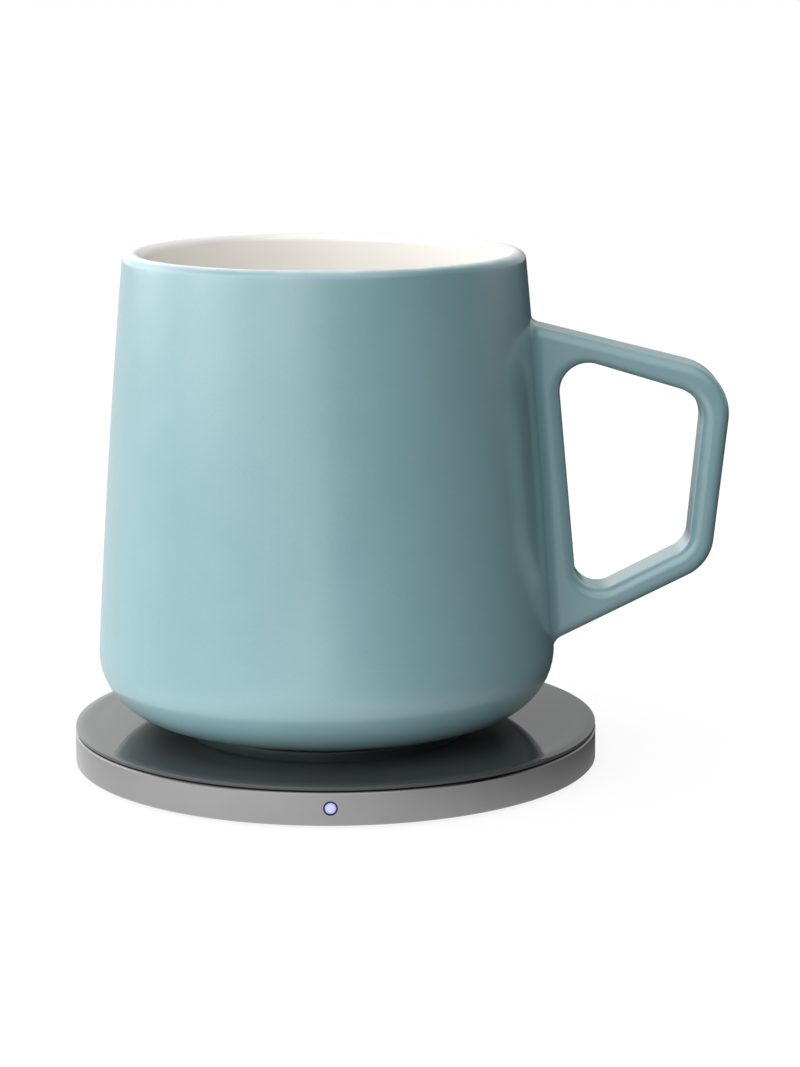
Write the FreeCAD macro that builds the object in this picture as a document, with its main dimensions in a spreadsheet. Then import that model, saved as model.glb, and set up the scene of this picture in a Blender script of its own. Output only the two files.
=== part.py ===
import FreeCAD, Part

import math
import os
import re
import sys

import Sketcher

# Round low-profile mug warmer with the mug that stands on it.
# The origin is the centre of the warmer's underside, Z points up, and the lit button faces -Y.

# Driving sizes in millimetres
SIZES = {
    # Foot pad, ring and closing cover
    "pad_inset": 3.0,
    "pad_thickness": 0.7,
    "ring_radius": 52.5,
    "ring_height": 6.45,
    "ring_wall": 1.6,
    "ring_top_chamfer": 0.25,
    "ring_foot_chamfer": 0.3,
    "ledge_width": 2.4,
    "ledge_thickness": 1.2,
    "cover_thickness": 1.2,
    "cover_gap": 0.1,
    # Glass plate and its seal
    "seal_inset": 0.6,
    "seal_width": 3.0,
    "seal_thickness": 0.35,
    "plate_inset": 0.1,
    "plate_thickness": 0.85,
    "plate_edge_round": 0.5,
    # Heating stack, from the plate down
    "bond_thickness": 0.2,
    "bond_margin": 1.0,
    "spreader_gap": 0.5,
    "spreader_thickness": 0.8,
    "film_thickness": 0.15,
    "film_margin": 2.0,
    "track_thickness": 0.1,
    "track_margin": 1.0,
    "track_width": 2.4,
    "track_spacing": 1.2,
    "track_core_radius": 7.0,
    "insulation_thickness": 1.5,
    "insulation_margin": 2.0,
    "clamp_thickness": 0.5,
    "clamp_margin": 1.0,
    "lead_slot_width": 14.0,
    "insulation_slot_margin": 4.0,
    "clamp_slot_margin": 2.25,
    # Lugs, posts and screws
    "lug_radius": 2.4,
    "lug_setback": 2.1,
    "lug_hole_depth": 3.4,
    "post_radius": 1.5,
    "post_circle": 34.0,
    "screw_radius": 0.75,
    "screw_head_radius": 1.5,
    "screw_head_height": 0.8,
    "screw_length": 4.0,
    "screw_fit": 0.05,
    "board_screw_radius": 0.5,
    "board_screw_head_radius": 1.1,
    "board_screw_head_height": 0.5,
    "board_screw_length": 1.9,
    "board_post_radius": 1.6,
    "board_post_bore": 1.3,
    "drive_radius": 0.4,
    "drive_depth": 0.3,
    # Main board and what sits on it
    "board_rise": 0.6,
    "board_thickness": 0.8,
    "board_width": 30.0,
    "board_depth": 24.0,
    "board_setback": 3.0,
    "board_screw_spread": 24.0,
    "board_screw_inset": 3.0,
    "controller_size": 5.0,
    "controller_height": 0.75,
    "controller_offset": 10.5,
    "controller_inset": 12.5,
    "transistor_width": 5.0,
    "transistor_depth": 6.0,
    "transistor_height": 0.85,
    "transistor_offset": 10.5,
    "capacitor_length": 1.25,
    "capacitor_width": 2.0,
    "capacitor_height": 0.8,
    "capacitor_pitch": 2.4,
    "capacitor_inset": 7.0,
    "resistor_length": 0.8,
    "resistor_width": 1.6,
    "resistor_height": 0.45,
    "resistor_pitch": 1.8,
    "resistor_inset": 10.0,
    # Power inlet at the back
    "inlet_width": 8.94,
    "inlet_height": 3.26,
    "inlet_wall": 0.3,
    "inlet_depth": 7.3,
    "inlet_setback": 0.3,
    "inlet_rise": 1.8,
    "inlet_clearance": 0.1,
    "tongue_width": 6.69,
    "tongue_height": 0.7,
    "tongue_length": 5.0,
    "contact_width": 0.25,
    "contact_length": 3.6,
    "contact_thickness": 0.05,
    "contact_pitch": 0.5,
    # Lit button in the rim and the small board behind it
    "button_height": 3.45,
    "bezel_radius": 1.35,
    "bezel_proud": 0.12,
    "bezel_seat": 0.02,
    "cap_radius": 1.07,
    "cap_clearance": 0.05,
    "cap_recess": 0.05,
    "cap_dome_height": 0.17,
    "flange_radius": 1.6,
    "flange_thickness": 0.8,
    "flange_gap": 0.1,
    "cap_tail": 0.6,
    "stem_radius": 0.6,
    "stem_length": 2.5,
    "stem_gap": 0.02,
    "stem_fit": 0.05,
    "switch_width": 4.6,
    "switch_depth": 3.4,
    "switch_height": 1.7,
    "switch_standoff": 3.0,
    "switch_bore_depth": 1.7,
    "button_board_width": 14.0,
    "button_board_depth": 8.6,
    "button_board_setback": 2.3,
    "button_screw_spread": 9.6,
    "button_screw_inset": 6.4,
    "led_width": 1.0,
    "led_depth": 0.8,
    "led_height": 0.8,
    "led_offset": 1.8,
    "led_standoff": 2.0,
    # Wiring and heat sensing
    "link_wire": 0.7,
    "link_pitch": 0.8,
    "link_lap": 1.8,
    "lead_wire": 1.1,
    "lead_spread": 8.0,
    "lead_start_ahead": 13.9,
    "lead_bend_ahead": 3.9,
    "lead_landing": 6.1,
    "lead_lap": 12.1,
    "wire_gap": 0.1,
    "sensor_wire": 0.4,
    "sensor_spread": 0.6,
    "sensor_bead": 0.75,
    "sensor_ahead": 11.9,
    "fuse_width": 4.0,
    "fuse_depth": 3.0,
    "fuse_height": 1.0,
    "fuse_x": 18.0,
    "fuse_y": -10.0,
    "fuse_pocket_gap": 0.5,
    # Mug
    "mug_gap": 0.05,
    "mug_offset": -1.7,
    "mug_height": 94.4,
    "mug_rim_radius": 39.6,
    "mug_base_radius": 46.55,
    "mug_side_radius": 2050.0,
    "mug_corner": 13.4,
    "mug_rim_wall": 3.6,
    "mug_low_wall": 4.45,
    "mug_floor": 5.0,
    "mug_inner_corner": 10.0,
    "mug_lip_round": 1.7,
    "foot_height": 0.62,
    "foot_margin": 2.15,
    "foot_width": 4.0,
    "foot_round": 0.25,
    # Handle, as distances out from the rim or the base, down from the rim and up from the foot
    "handle_seam": 0.05,
    "handle_depth": 12.5,
    "handle_edge_round": 2.1,
    "handle_high_root": 1.0,
    "handle_low_root": 7.95,
    "handle_root_drop": 13.65,
    "handle_root_rise": 13.3,
    "handle_high_reach": 41.1,
    "handle_high_drop": 24.2,
    "handle_low_reach": 30.05,
    "handle_low_rise": 32.2,
    "handle_high_round": 10.5,
    "handle_low_round": 9.0,
    # Finger gap, as the thickness of the strap round it
    "gap_wall_high": 6.0,
    "gap_wall_low": 3.65,
    "arm_high": 4.3,
    "arm_low": 5.4,
    "bar_high": 5.7,
    "bar_high_drop": 4.3,
    "bar_low": 4.4,
    "bar_low_rise": 3.4,
    "gap_wall_high_round": 5.6,
    "gap_bar_high_round": 6.5,
    "gap_bar_low_round": 5.0,
    "gap_wall_low_round": 5.0,
}

# Counts
LUG_COUNT = 4
POST_COUNT = 6
CAPACITOR_COUNT = 5
RESISTOR_COUNT = 5
CONTACT_COUNT = 12
LINK_WIRE_COUNT = 4

# Places worked out from the driving sizes
PLACES = {
    "ring_base": "pad_thickness",
    "ring_top": "ring_base + ring_height",
    "bore_radius": "ring_radius - ring_wall",
    "ledge_radius": "bore_radius - ledge_width",
    "ledge_base": "ring_top - ledge_thickness",
    "cover_top": "ring_base + cover_thickness",
    "seal_radius": "ring_radius - seal_inset",
    "plate_base": "ring_top + seal_thickness",
    "plate_top": "plate_base + plate_thickness",
    "plate_radius": "ring_radius - plate_inset",
    "bond_base": "plate_base - bond_thickness",
    "spreader_radius": "ledge_radius - spreader_gap",
    "bond_radius": "spreader_radius - bond_margin",
    "spreader_base": "bond_base - spreader_thickness",
    "film_radius": "spreader_radius - film_margin",
    "film_base": "spreader_base - film_thickness",
    "track_radius": "film_radius - track_margin",
    "track_base": "film_base - track_thickness",
    "insulation_radius": "film_radius - insulation_margin",
    "insulation_base": "track_base - insulation_thickness",
    "clamp_radius": "insulation_radius - clamp_margin",
    "clamp_base": "insulation_base - clamp_thickness",
    "lug_circle": "bore_radius - lug_setback",
    "board_base": "cover_top + board_rise",
    "board_top": "board_base + board_thickness",
    "board_rear": "bore_radius - board_setback",
    "board_front": "board_rear - board_depth",
    "inlet_middle": "cover_top + inlet_rise",
    "inlet_face": "ring_radius - inlet_setback",
    "inlet_inner": "inlet_face - inlet_depth",
    "button_middle": "ring_base + button_height",
    "cap_edge": "cap_recess - ring_radius",
    "cap_tip": "cap_edge - cap_dome_height",
    "cap_dome_radius": "(cap_radius^2 + cap_dome_height^2) / (2 * cap_dome_height)",
    "flange_front": "flange_gap - bore_radius",
    "flange_rear": "flange_front + flange_thickness",
    "cap_rear": "flange_rear + cap_tail",
    "stem_front": "cap_rear + stem_gap",
    "switch_front": "switch_standoff - bore_radius",
    "button_board_front": "button_board_setback - bore_radius",
    "button_board_rear": "button_board_front + button_board_depth",
    "insulation_slot_start": "lead_start - insulation_slot_margin",
    "clamp_slot_start": "sensor_place - sensor_bead - clamp_slot_margin",
    "sensor_place": "board_front - sensor_ahead",
    "lead_start": "board_front - lead_start_ahead",
    "lead_bend_high": "board_front - lead_bend_ahead",
    "lead_bend_low": "board_front + lead_landing",
    "lead_end": "board_front + lead_lap",
    "lead_high": "track_base - wire_gap - lead_wire / 2",
    "lead_low": "board_top + lead_wire / 2",
    "sensor_high": "track_base - wire_gap - sensor_bead",
    "sensor_low": "board_top + sensor_wire / 2",
    "mug_seat": "plate_top + mug_gap",
    "mug_inner_rim": "mug_rim_radius - mug_rim_wall",
    "mug_inner_base": "mug_base_radius - mug_low_wall",
    "mug_floor_top": "foot_height + mug_floor",
    "foot_radius": "mug_base_radius - mug_corner - foot_margin",
    "foot_inner_radius": "foot_radius - foot_width",
    "lip_round": "min(mug_lip_round; 0.48 * mug_rim_wall)",
    "root_high_x": "mug_rim_radius - handle_high_root",
    "root_high_z": "mug_height - handle_root_drop",
    "root_low_x": "mug_base_radius - handle_low_root",
    "root_low_z": "handle_root_rise",
    "handle_high_x": "mug_rim_radius + handle_high_reach",
    "handle_high_z": "mug_height - handle_high_drop",
    "handle_low_x": "mug_base_radius + handle_low_reach",
    "handle_low_z": "handle_low_rise",
    "high_slope": "(handle_high_z - root_high_z) / (handle_high_x - root_high_x)",
    "low_slope": "(handle_low_z - root_low_z) / (handle_low_x - root_low_x)",
    "gap_wall_high_x": "mug_rim_radius + gap_wall_high",
    "gap_wall_high_z": "root_high_z + (gap_wall_high_x - root_high_x) * high_slope - arm_high",
    "gap_wall_low_x": "mug_base_radius + gap_wall_low",
    "gap_wall_low_z": "root_low_z + (gap_wall_low_x - root_low_x) * low_slope + arm_low",
    "gap_bar_high_x": "handle_high_x - bar_high",
    "gap_bar_high_z": "handle_high_z - bar_high_drop",
    "gap_bar_low_x": "handle_low_x - bar_low",
    "gap_bar_low_z": "handle_low_z + bar_low_rise",
    "strap_round": "min(handle_edge_round; 0.49 * min(arm_high; bar_low))",
}

doc = FreeCAD.newDocument("mug_warmer")
sheet = doc.addObject("Spreadsheet::Sheet", "Sizes")
nodes = {}


def fill_sheet():
    """Writes each driving size into the sheet, with its name as the cell's alias."""
    for row, (name, value) in enumerate(SIZES.items(), start=1):
        sheet.set(f"A{row}", name)
        sheet.set(f"B{row}", str(value))
        sheet.setAlias(f"B{row}", name)
    doc.recompute()


def formula(text):
    """The text as an expression over the sheet, with each place worked out from its sizes."""

    def swap(match):
        word = match[0]
        if word in PLACES:
            return f"({formula(PLACES[word])})"
        return f"Sizes.{word}" if word in SIZES else word

    return re.sub(r"[a-z_]+", swap, text)


def number(text):
    """The value of a formula, in millimetres."""
    return float(sheet.evalExpression(formula(text)))


def bind(item, **sizes):
    """Binds properties of an object to formulas; Px, Py and Pz are the parts of its position."""
    places = {"Px": "Placement.Base.x", "Py": "Placement.Base.y", "Pz": "Placement.Base.z"}
    for name, text in sizes.items():
        item.setExpression(places.get(name, name), formula(text))
    return item


def node(item, name):
    """Keeps an object as one of the part's pieces."""
    item.Label = name
    nodes[name] = item
    return item


# Solids from primitives

AXIS_TURNS = {
    "z": FreeCAD.Rotation(),
    "y": FreeCAD.Rotation(FreeCAD.Vector(1, 0, 0), -90),
}


def cylinder(name, radius, height, x="0", y="0", z="0", axis="z"):
    """A cylinder that starts at x, y, z and runs along the axis."""
    item = doc.addObject("Part::Cylinder", name)
    item.Placement = FreeCAD.Placement(FreeCAD.Vector(), AXIS_TURNS[axis])
    return bind(item, Radius=radius, Height=height, Px=x, Py=y, Pz=z)


def block(name, width, depth, height, x="0", y="0", z="0"):
    """A block centred on x, running from y backwards and from z upwards."""
    item = doc.addObject("Part::Box", name)
    return bind(item, Length=width, Width=depth, Height=height, Px=f"{x} - ({width}) / 2", Py=y, Pz=z)


def fused(name, pieces):
    item = doc.addObject("Part::MultiFuse", name)
    item.Shapes = pieces
    return item


def group(name, pieces):
    item = doc.addObject("Part::Compound", name)
    item.Links = pieces
    return item


def cut(name, base, tools):
    """The base with the tools, which may overlap each other, taken out of it."""
    item = doc.addObject("Part::Cut", name)
    item.Base = base
    item.Tool = tools[0] if len(tools) == 1 else fused(f"{name}_tools", tools)
    return item


def around(count, radius, first_angle=0.0):
    """Formulas for the x and y of places spread evenly round a circle."""
    for index in range(count):
        angle = first_angle + 360.0 * index / count
        yield f"({radius}) * cos({angle} deg)", f"({radius}) * sin({angle} deg)"


# Solids from sketches


def plane_of(body, role):
    """One of the body's own origin planes."""
    return next(item for item in body.Origin.OriginFeatures if item.Role == role)


def outline(body, name, plane, corners, arcs=None):
    """A closed sketch through the corners, each a pair of formulas.

    arcs gives the radius of a side that curves, by the number of its first corner. Such a side bulges
    to the right of its own direction.
    """
    arcs = arcs or {}
    start_point, end_point, level_axis, upright_axis = 1, 2, -1, -2
    sketch = body.newObject("Sketcher::SketchObject", name)
    sketch.AttachmentSupport = (plane_of(body, plane), [""])
    sketch.MapMode = "FlatFace"
    points = [FreeCAD.Vector(number(u), number(v), 0) for u, v in corners]
    for index, start in enumerate(points):
        end = points[(index + 1) % len(points)]
        if index in arcs:
            sketch.addGeometry(bulging_side(start, end, number(arcs[index])), False)
        else:
            sketch.addGeometry(Part.LineSegment(start, end), False)
    for index in range(len(points)):
        following = (index + 1) % len(points)
        sketch.addConstraint(
            Sketcher.Constraint("Coincident", index, end_point, following, start_point)
        )
    for index, (u, v) in enumerate(corners):
        pin_corner(sketch, index, "DistanceX", u, points[index].x, upright_axis)
        pin_corner(sketch, index, "DistanceY", v, points[index].y, level_axis)
    for index, radius in arcs.items():
        place = sketch.addConstraint(Sketcher.Constraint("Radius", index, number(radius)))
        sketch.renameConstraint(place, f"side{index}")
        sketch.setExpression(f"Constraints.side{index}", formula(radius))
    return sketch


def bulging_side(start, end, radius):
    """The counter-clockwise arc from start to end."""
    chord = end.sub(start)
    half = chord.Length / 2
    left = FreeCAD.Vector(-chord.y, chord.x, 0).normalize()
    centre = start.add(chord.multiply(0.5)).add(left.multiply(math.sqrt(radius**2 - half**2)))
    circle = Part.Circle(centre, FreeCAD.Vector(0, 0, 1), radius)
    first = math.atan2(start.y - centre.y, start.x - centre.x)
    last = math.atan2(end.y - centre.y, end.x - centre.x)
    return Part.ArcOfCircle(circle, first, last)


def pin_corner(sketch, index, kind, text, value, axis):
    """Ties one coordinate of a corner to its formula, or to the axis where it is nothing."""
    origin, start_point = -1, 1
    if text == "0":
        sketch.addConstraint(Sketcher.Constraint("PointOnObject", index, start_point, axis))
        return
    tie = Sketcher.Constraint(kind, origin, start_point, index, start_point, value)
    place = sketch.addConstraint(tie)
    label = f"{kind[-1].lower()}{index}"
    sketch.renameConstraint(place, label)
    sketch.setExpression(f"Constraints.{label}", formula(text))


def lathe(name, corners, arcs=None, plane="XZ_Plane"):
    """A body turned about its upright sketch axis, and the turned feature."""
    body = doc.addObject("PartDesign::Body", name)
    sketch = outline(body, f"{name}_profile", plane, corners, arcs)
    turned = body.newObject("PartDesign::Revolution", f"{name}_turned")
    turned.Profile = sketch
    turned.ReferenceAxis = (sketch, ["V_Axis"])
    turned.Angle = 360
    doc.recompute()
    return body, turned


def edges_where(feature, test):
    """Names of the feature's edges that pass a test."""
    return [f"Edge{place}" for place, edge in enumerate(feature.Shape.Edges, start=1) if test(edge)]


NEAR = 0.02


def circle_at(radius, height):
    """A test for the circular edge of that radius and height."""
    wanted_radius, wanted_height = number(radius), number(height)

    def test(edge):
        if not isinstance(edge.Curve, Part.Circle):
            return False
        near = abs(edge.Curve.Radius - wanted_radius) < NEAR
        return near and abs(edge.Curve.Center.z - wanted_height) < NEAR

    return test


def softened(body, feature, kind, test, size):
    """The feature with a fillet or a chamfer on the edges that pass the test."""
    names = edges_where(feature, test)
    if not names:
        sys.exit(f"{body.Label}: no edge found for a {kind}")
    made = body.newObject(f"PartDesign::{kind}", f"{body.Name}_{kind}_{len(body.Group)}")
    made.Base = (feature, names)
    bind(made, **{"Radius" if kind == "Fillet" else "Size": size})
    doc.recompute()
    return made


def padded_outline(body, name, corners, depth):
    """A pad of an outline in the XZ plane, to both sides of it alike."""
    pad = body.newObject("PartDesign::Pad", f"{name}_pad")
    pad.Profile = outline(body, name, "XZ_Plane", corners)
    pad.SideType = "Symmetric"
    bind(pad, Length=depth)
    doc.recompute()
    return pad


# Warmer housing


def base_pad():
    node(cylinder("base_pad", "ring_radius - pad_inset", "pad_thickness"), "base_pad")


def lug_places():
    return list(around(LUG_COUNT, "lug_circle", 45.0))


def board_screw_places():
    """The x and y of the screws of the main board and of the button board."""
    main_row = "board_front + board_screw_inset"
    button_row = "button_board_front + button_screw_inset"
    return [
        ("board_screw_spread / 2", main_row),
        ("-board_screw_spread / 2", main_row),
        ("button_screw_spread / 2", button_row),
        ("-button_screw_spread / 2", button_row),
    ]


def base_cover():
    """The closing disc, with posts that press the heating stack up and posts for the boards."""
    disc = cylinder("cover_disc", "bore_radius - cover_gap", "cover_thickness", z="ring_base")
    posts = [
        cylinder(f"stack_post_{i}", "post_radius", "clamp_base - cover_top", x, y, "cover_top")
        for i, (x, y) in enumerate(around(POST_COUNT, "post_circle"))
    ]
    posts += [
        cylinder(f"board_post_{i}", "board_post_radius", "board_rise", x, y, "cover_top")
        for i, (x, y) in enumerate(board_screw_places())
    ]
    holes = []
    for i, (x, y) in enumerate(lug_places()):
        holes.append(
            cylinder(f"cover_hole_{i}", "screw_radius + 2 * screw_fit", "cover_thickness", x, y, "ring_base")
        )
        sink = doc.addObject("Part::Cone", f"cover_sink_{i}")
        bind(
            sink,
            Radius1="screw_head_radius + screw_fit",
            Radius2="screw_radius + screw_fit",
            Height="screw_head_height",
            Px=x,
            Py=y,
            Pz="ring_base",
        )
        holes.append(sink)
    for i, (x, y) in enumerate(board_screw_places()):
        bottom = "board_base - board_post_bore"
        holes.append(
            cylinder(f"post_bore_{i}", "board_screw_radius + screw_fit", "board_post_bore", x, y, bottom)
        )
    node(cut("base_cover", fused("cover_and_posts", [disc, *posts]), holes), "base_cover")


def base_screws():
    """Countersunk screws from below the cover into the ring's lugs, each with a drive recess."""
    screws = []
    for i, (x, y) in enumerate(lug_places()):
        head = doc.addObject("Part::Cone", f"screw_head_{i}")
        bind(
            head,
            Radius1="screw_head_radius",
            Radius2="screw_radius",
            Height="screw_head_height",
            Px=x,
            Py=y,
            Pz="ring_base",
        )
        shank = cylinder(f"screw_shank_{i}", "screw_radius", "screw_length", x, y, "ring_base")
        recess = cylinder(f"screw_recess_{i}", "drive_radius", "drive_depth", x, y, "ring_base")
        screws.append(cut(f"base_screw_{i}", fused(f"screw_blank_{i}", [head, shank]), [recess]))
    node(group("base_screws", screws), "base_screws")


def stadium(name, width, height, depth, y, z):
    """A solid with half-round ends across X that runs from y backwards, centred on z."""
    middle = block(f"{name}_middle", f"({width}) - ({height})", depth, height, "0", y, f"({z}) - ({height}) / 2")
    ends = [
        cylinder(f"{name}_end_{sign}", f"({height}) / 2", depth, f"{turn} * (({width}) - ({height})) / 2", y, z, "y")
        for sign, turn in (("left", -1), ("right", 1))
    ]
    return fused(name, [middle, *ends])


def housing_ring():
    """The turned ring with its inner ledge, screw lugs, button hole and inlet slot."""
    body, turned = lathe(
        "ring_turned",
        [
            ("ring_radius", "ring_base"),
            ("ring_radius", "ring_top"),
            ("ledge_radius", "ring_top"),
            ("ledge_radius", "ledge_base"),
            ("bore_radius", "ledge_base"),
            ("bore_radius", "ring_base"),
        ],
    )
    top = softened(body, turned, "Chamfer", circle_at("ring_radius", "ring_top"), "ring_top_chamfer")
    softened(body, top, "Chamfer", circle_at("ring_radius", "ring_base"), "ring_foot_chamfer")
    lugs = [
        cylinder(f"lug_{i}", "lug_radius", "ledge_base - cover_top", x, y, "cover_top")
        for i, (x, y) in enumerate(lug_places())
    ]
    room = cylinder("lug_limit", "ring_radius - ring_wall / 2", "ring_height", z="ring_base")
    trimmed = doc.addObject("Part::MultiCommon", "lugs_trimmed")
    trimmed.Shapes = [fused("lugs", lugs), room]
    holes = [
        cylinder(f"lug_hole_{i}", "screw_radius + screw_fit", "lug_hole_depth", x, y, "cover_top")
        for i, (x, y) in enumerate(lug_places())
    ]
    holes.append(
        cylinder(
            "button_hole", "bezel_radius + bezel_seat", "2 * ring_wall",
            y="-ring_radius - ring_wall / 2", z="button_middle", axis="y",
        )
    )
    holes.append(
        stadium(
            "inlet_slot",
            "inlet_width + 2 * inlet_clearance",
            "inlet_height + 2 * inlet_clearance",
            "2 * ring_wall",
            "bore_radius - ring_wall / 2",
            "inlet_middle",
        )
    )
    node(cut("housing_ring", fused("ring_with_lugs", [body, trimmed]), holes), "housing_ring")


def plate_and_seal():
    outer = cylinder("seal_outer", "seal_radius", "seal_thickness", z="ring_top")
    inner = cylinder("seal_inner", "seal_radius - seal_width", "seal_thickness", z="ring_top")
    node(cut("plate_seal", outer, [inner]), "plate_seal")
    body, turned = lathe(
        "top_plate",
        [("0", "plate_base"), ("plate_radius", "plate_base"), ("plate_radius", "plate_top"), ("0", "plate_top")],
    )
    softened(body, turned, "Fillet", circle_at("plate_radius", "plate_top"), "plate_edge_round")
    node(body, "top_plate")


# Heating stack


def heating_stack():
    node(cylinder("plate_bond", "bond_radius", "bond_thickness", z="bond_base"), "plate_bond")
    node(cylinder("heat_spreader", "spreader_radius", "spreader_thickness", z="spreader_base"), "heat_spreader")
    node(cylinder("heater_film", "film_radius", "film_thickness", z="film_base"), "heater_film")
    pad = cylinder("insulation_disc", "insulation_radius", "insulation_thickness", z="insulation_base")
    channel = block(
        "insulation_slot", "lead_slot_width", "insulation_radius", "insulation_thickness",
        y="insulation_slot_start", z="insulation_base",
    )
    pocket = block(
        "fuse_pocket", "fuse_width + 2 * fuse_pocket_gap", "fuse_depth + 2 * fuse_pocket_gap",
        "insulation_thickness", "fuse_x", "fuse_y - fuse_pocket_gap", "insulation_base",
    )
    node(cut("insulation_pad", pad, [channel, pocket]), "insulation_pad")
    plate = cylinder("clamp_disc", "clamp_radius", "clamp_thickness", z="clamp_base")
    channel = block(
        "clamp_slot", "lead_slot_width", "clamp_radius", "clamp_thickness", y="clamp_slot_start", z="clamp_base"
    )
    node(cut("clamp_plate", plate, [channel]), "clamp_plate")


def heater_track():
    """One strip that winds to and fro in rings, each joined to the next beside a slot at the back."""
    width, spacing = number("track_width"), number("track_spacing")
    thickness, outer = number("track_thickness"), number("track_radius")
    pitch = width + spacing
    count = int((outer - number("track_core_radius")) / pitch)
    strip = None
    for index in range(count):
        radius = outer - index * pitch
        ring = Part.makeCylinder(radius, thickness).cut(Part.makeCylinder(radius - width, thickness))
        slot = Part.makeBox(spacing, radius + width, thickness, FreeCAD.Vector(-spacing / 2, 0, 0))
        ring = ring.cut(slot)
        if strip is None:
            strip = ring
            continue
        side = 1 if index % 2 else -1
        left = spacing / 2 if side > 0 else -spacing / 2 - width
        low = math.sqrt(radius**2 - (spacing / 2 + width) ** 2) - width / 2
        bridge = Part.makeBox(width, pitch, thickness, FreeCAD.Vector(left, low, 0))
        strip = strip.fuse([ring, bridge])
    item = doc.addObject("Part::Feature", "heater_track")
    item.Shape = strip.removeSplitter()
    bind(item, Pz="track_base")
    node(item, "heater_track")


def sensing():
    bead = doc.addObject("Part::Sphere", "thermistor")
    node(bind(bead, Radius="sensor_bead", Py="sensor_place", Pz="sensor_high"), "thermistor")
    fuse = block(
        "thermal_fuse", "fuse_width", "fuse_depth", "fuse_height", "fuse_x", "fuse_y", "track_base - fuse_height"
    )
    node(fuse, "thermal_fuse")


# Wires


def wire_solid(points, diameter):
    """A round wire along straight runs that are joined by tangent arcs.

    An arc takes a share of the shorter run on each side of its corner.
    """
    share_in_arc, volume_error = 0.45, 0.01
    edges, here = [], points[0]
    for before, corner, after in zip(points, points[1:], points[2:]):
        back = before.sub(corner)
        ahead = after.sub(corner)
        half_turn = (math.pi - back.getAngle(ahead)) / 2
        reach = share_in_arc * min(back.Length, ahead.Length)
        radius = reach / math.tan(half_turn)
        back.normalize()
        ahead.normalize()
        start = corner.add(back * reach)
        end = corner.add(ahead * reach)
        middle_way = (back + ahead).normalize()
        middle = corner.add(middle_way * (radius / math.cos(half_turn) - radius))
        edges.append(Part.LineSegment(here, start).toShape())
        edges.append(Part.Arc(start, middle, end).toShape())
        print(f"wire of {diameter} mm bends at radius {radius:.1f} mm")
        here = end
    edges.append(Part.LineSegment(here, points[-1]).toShape())
    path = Part.Wire(edges)
    direction = points[1].sub(points[0])
    ring = Part.Wire([Part.Circle(points[0], direction, diameter / 2).toShape()])
    solid = path.makePipeShell([ring], True, True)
    expected = math.pi * diameter**2 / 4 * path.Length
    if abs(solid.Volume / expected - 1) > volume_error:
        sys.exit(f"a wire's volume is {solid.Volume:.2f}, not {expected:.2f}")
    return solid


def paired_leads(name, spread, wire, start, high, low):
    """Two wires side by side from under the heater film, down to the main board."""
    solids = []
    for side in (-1, 1):
        x = side * number(spread) / 2
        route = [(start, high), ("lead_bend_high", high), ("lead_bend_low", low), ("lead_end", low)]
        points = [FreeCAD.Vector(x, number(y), number(z)) for y, z in route]
        solids.append(wire_solid(points, number(wire)))
    item = doc.addObject("Part::Feature", name)
    item.Shape = Part.makeCompound(solids)
    node(item, name)


def wiring():
    paired_leads("heater_leads", "lead_spread", "lead_wire", "lead_start", "lead_high", "lead_low")
    bead_end = "sensor_place + sensor_bead + wire_gap / 2"
    paired_leads("sensor_leads", "sensor_spread", "sensor_wire", bead_end, "sensor_high", "sensor_low")
    first = "button_board_rear - link_lap"
    last = "board_front + link_lap"
    height = "board_top + link_wire / 2"
    wires = []
    for i in range(LINK_WIRE_COUNT):
        x = f"{i - (LINK_WIRE_COUNT - 1) / 2} * link_pitch"
        wires.append(cylinder(f"link_wire_{i}", "link_wire / 2", f"({last}) - ({first})", x, first, height, "y"))
    node(group("board_link", wires), "board_link")


# Boards


def main_board():
    """The board at the back, notched for the inlet that is sunk into its rear edge."""
    slab = block("board_slab", "board_width", "board_depth", "board_thickness", y="board_front", z="board_base")
    notch = block(
        "board_notch", "inlet_width + 2 * inlet_clearance", "board_depth", "board_thickness",
        y="inlet_inner - inlet_clearance", z="board_base",
    )
    holes = [
        cylinder(f"board_hole_{i}", "board_screw_radius + screw_fit", "board_thickness", x, y, "board_base")
        for i, (x, y) in enumerate(board_screw_places()[:2])
    ]
    node(cut("main_board", slab, [notch, *holes]), "main_board")
    chip_row = "board_rear - controller_inset"
    node(
        block(
            "microcontroller", "controller_size", "controller_size", "controller_height",
            "-controller_offset", chip_row, "board_top",
        ),
        "microcontroller",
    )
    node(
        block(
            "power_transistor", "transistor_width", "transistor_depth", "transistor_height",
            "transistor_offset", chip_row, "board_top",
        ),
        "power_transistor",
    )
    chip_rows = {
        "capacitor": CAPACITOR_COUNT,
        "resistor": RESISTOR_COUNT,
    }
    for kind, count in chip_rows.items():
        chips = [
            block(
                f"{kind}_{i}", f"{kind}_length", f"{kind}_width", f"{kind}_height",
                f"{i - (count - 1) / 2} * {kind}_pitch", f"board_rear - {kind}_inset", "board_top",
            )
            for i in range(count)
        ]
        node(group(f"board_{kind}s", chips), f"board_{kind}s")


def board_screws():
    screws = []
    for i, (x, y) in enumerate(board_screw_places()):
        top = "board_top + board_screw_head_height"
        head = cylinder(
            f"board_head_{i}", "board_screw_head_radius", "board_screw_head_height", x, y, "board_top"
        )
        shank = cylinder(
            f"board_shank_{i}", "board_screw_radius", "board_screw_length", x, y, "board_top - board_screw_length"
        )
        recess = cylinder(f"board_recess_{i}", "drive_radius", "drive_depth", x, y, f"{top} - drive_depth")
        screws.append(cut(f"board_screw_{i}", fused(f"board_blank_{i}", [head, shank]), [recess]))
    node(group("board_screws", screws), "board_screws")


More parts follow.
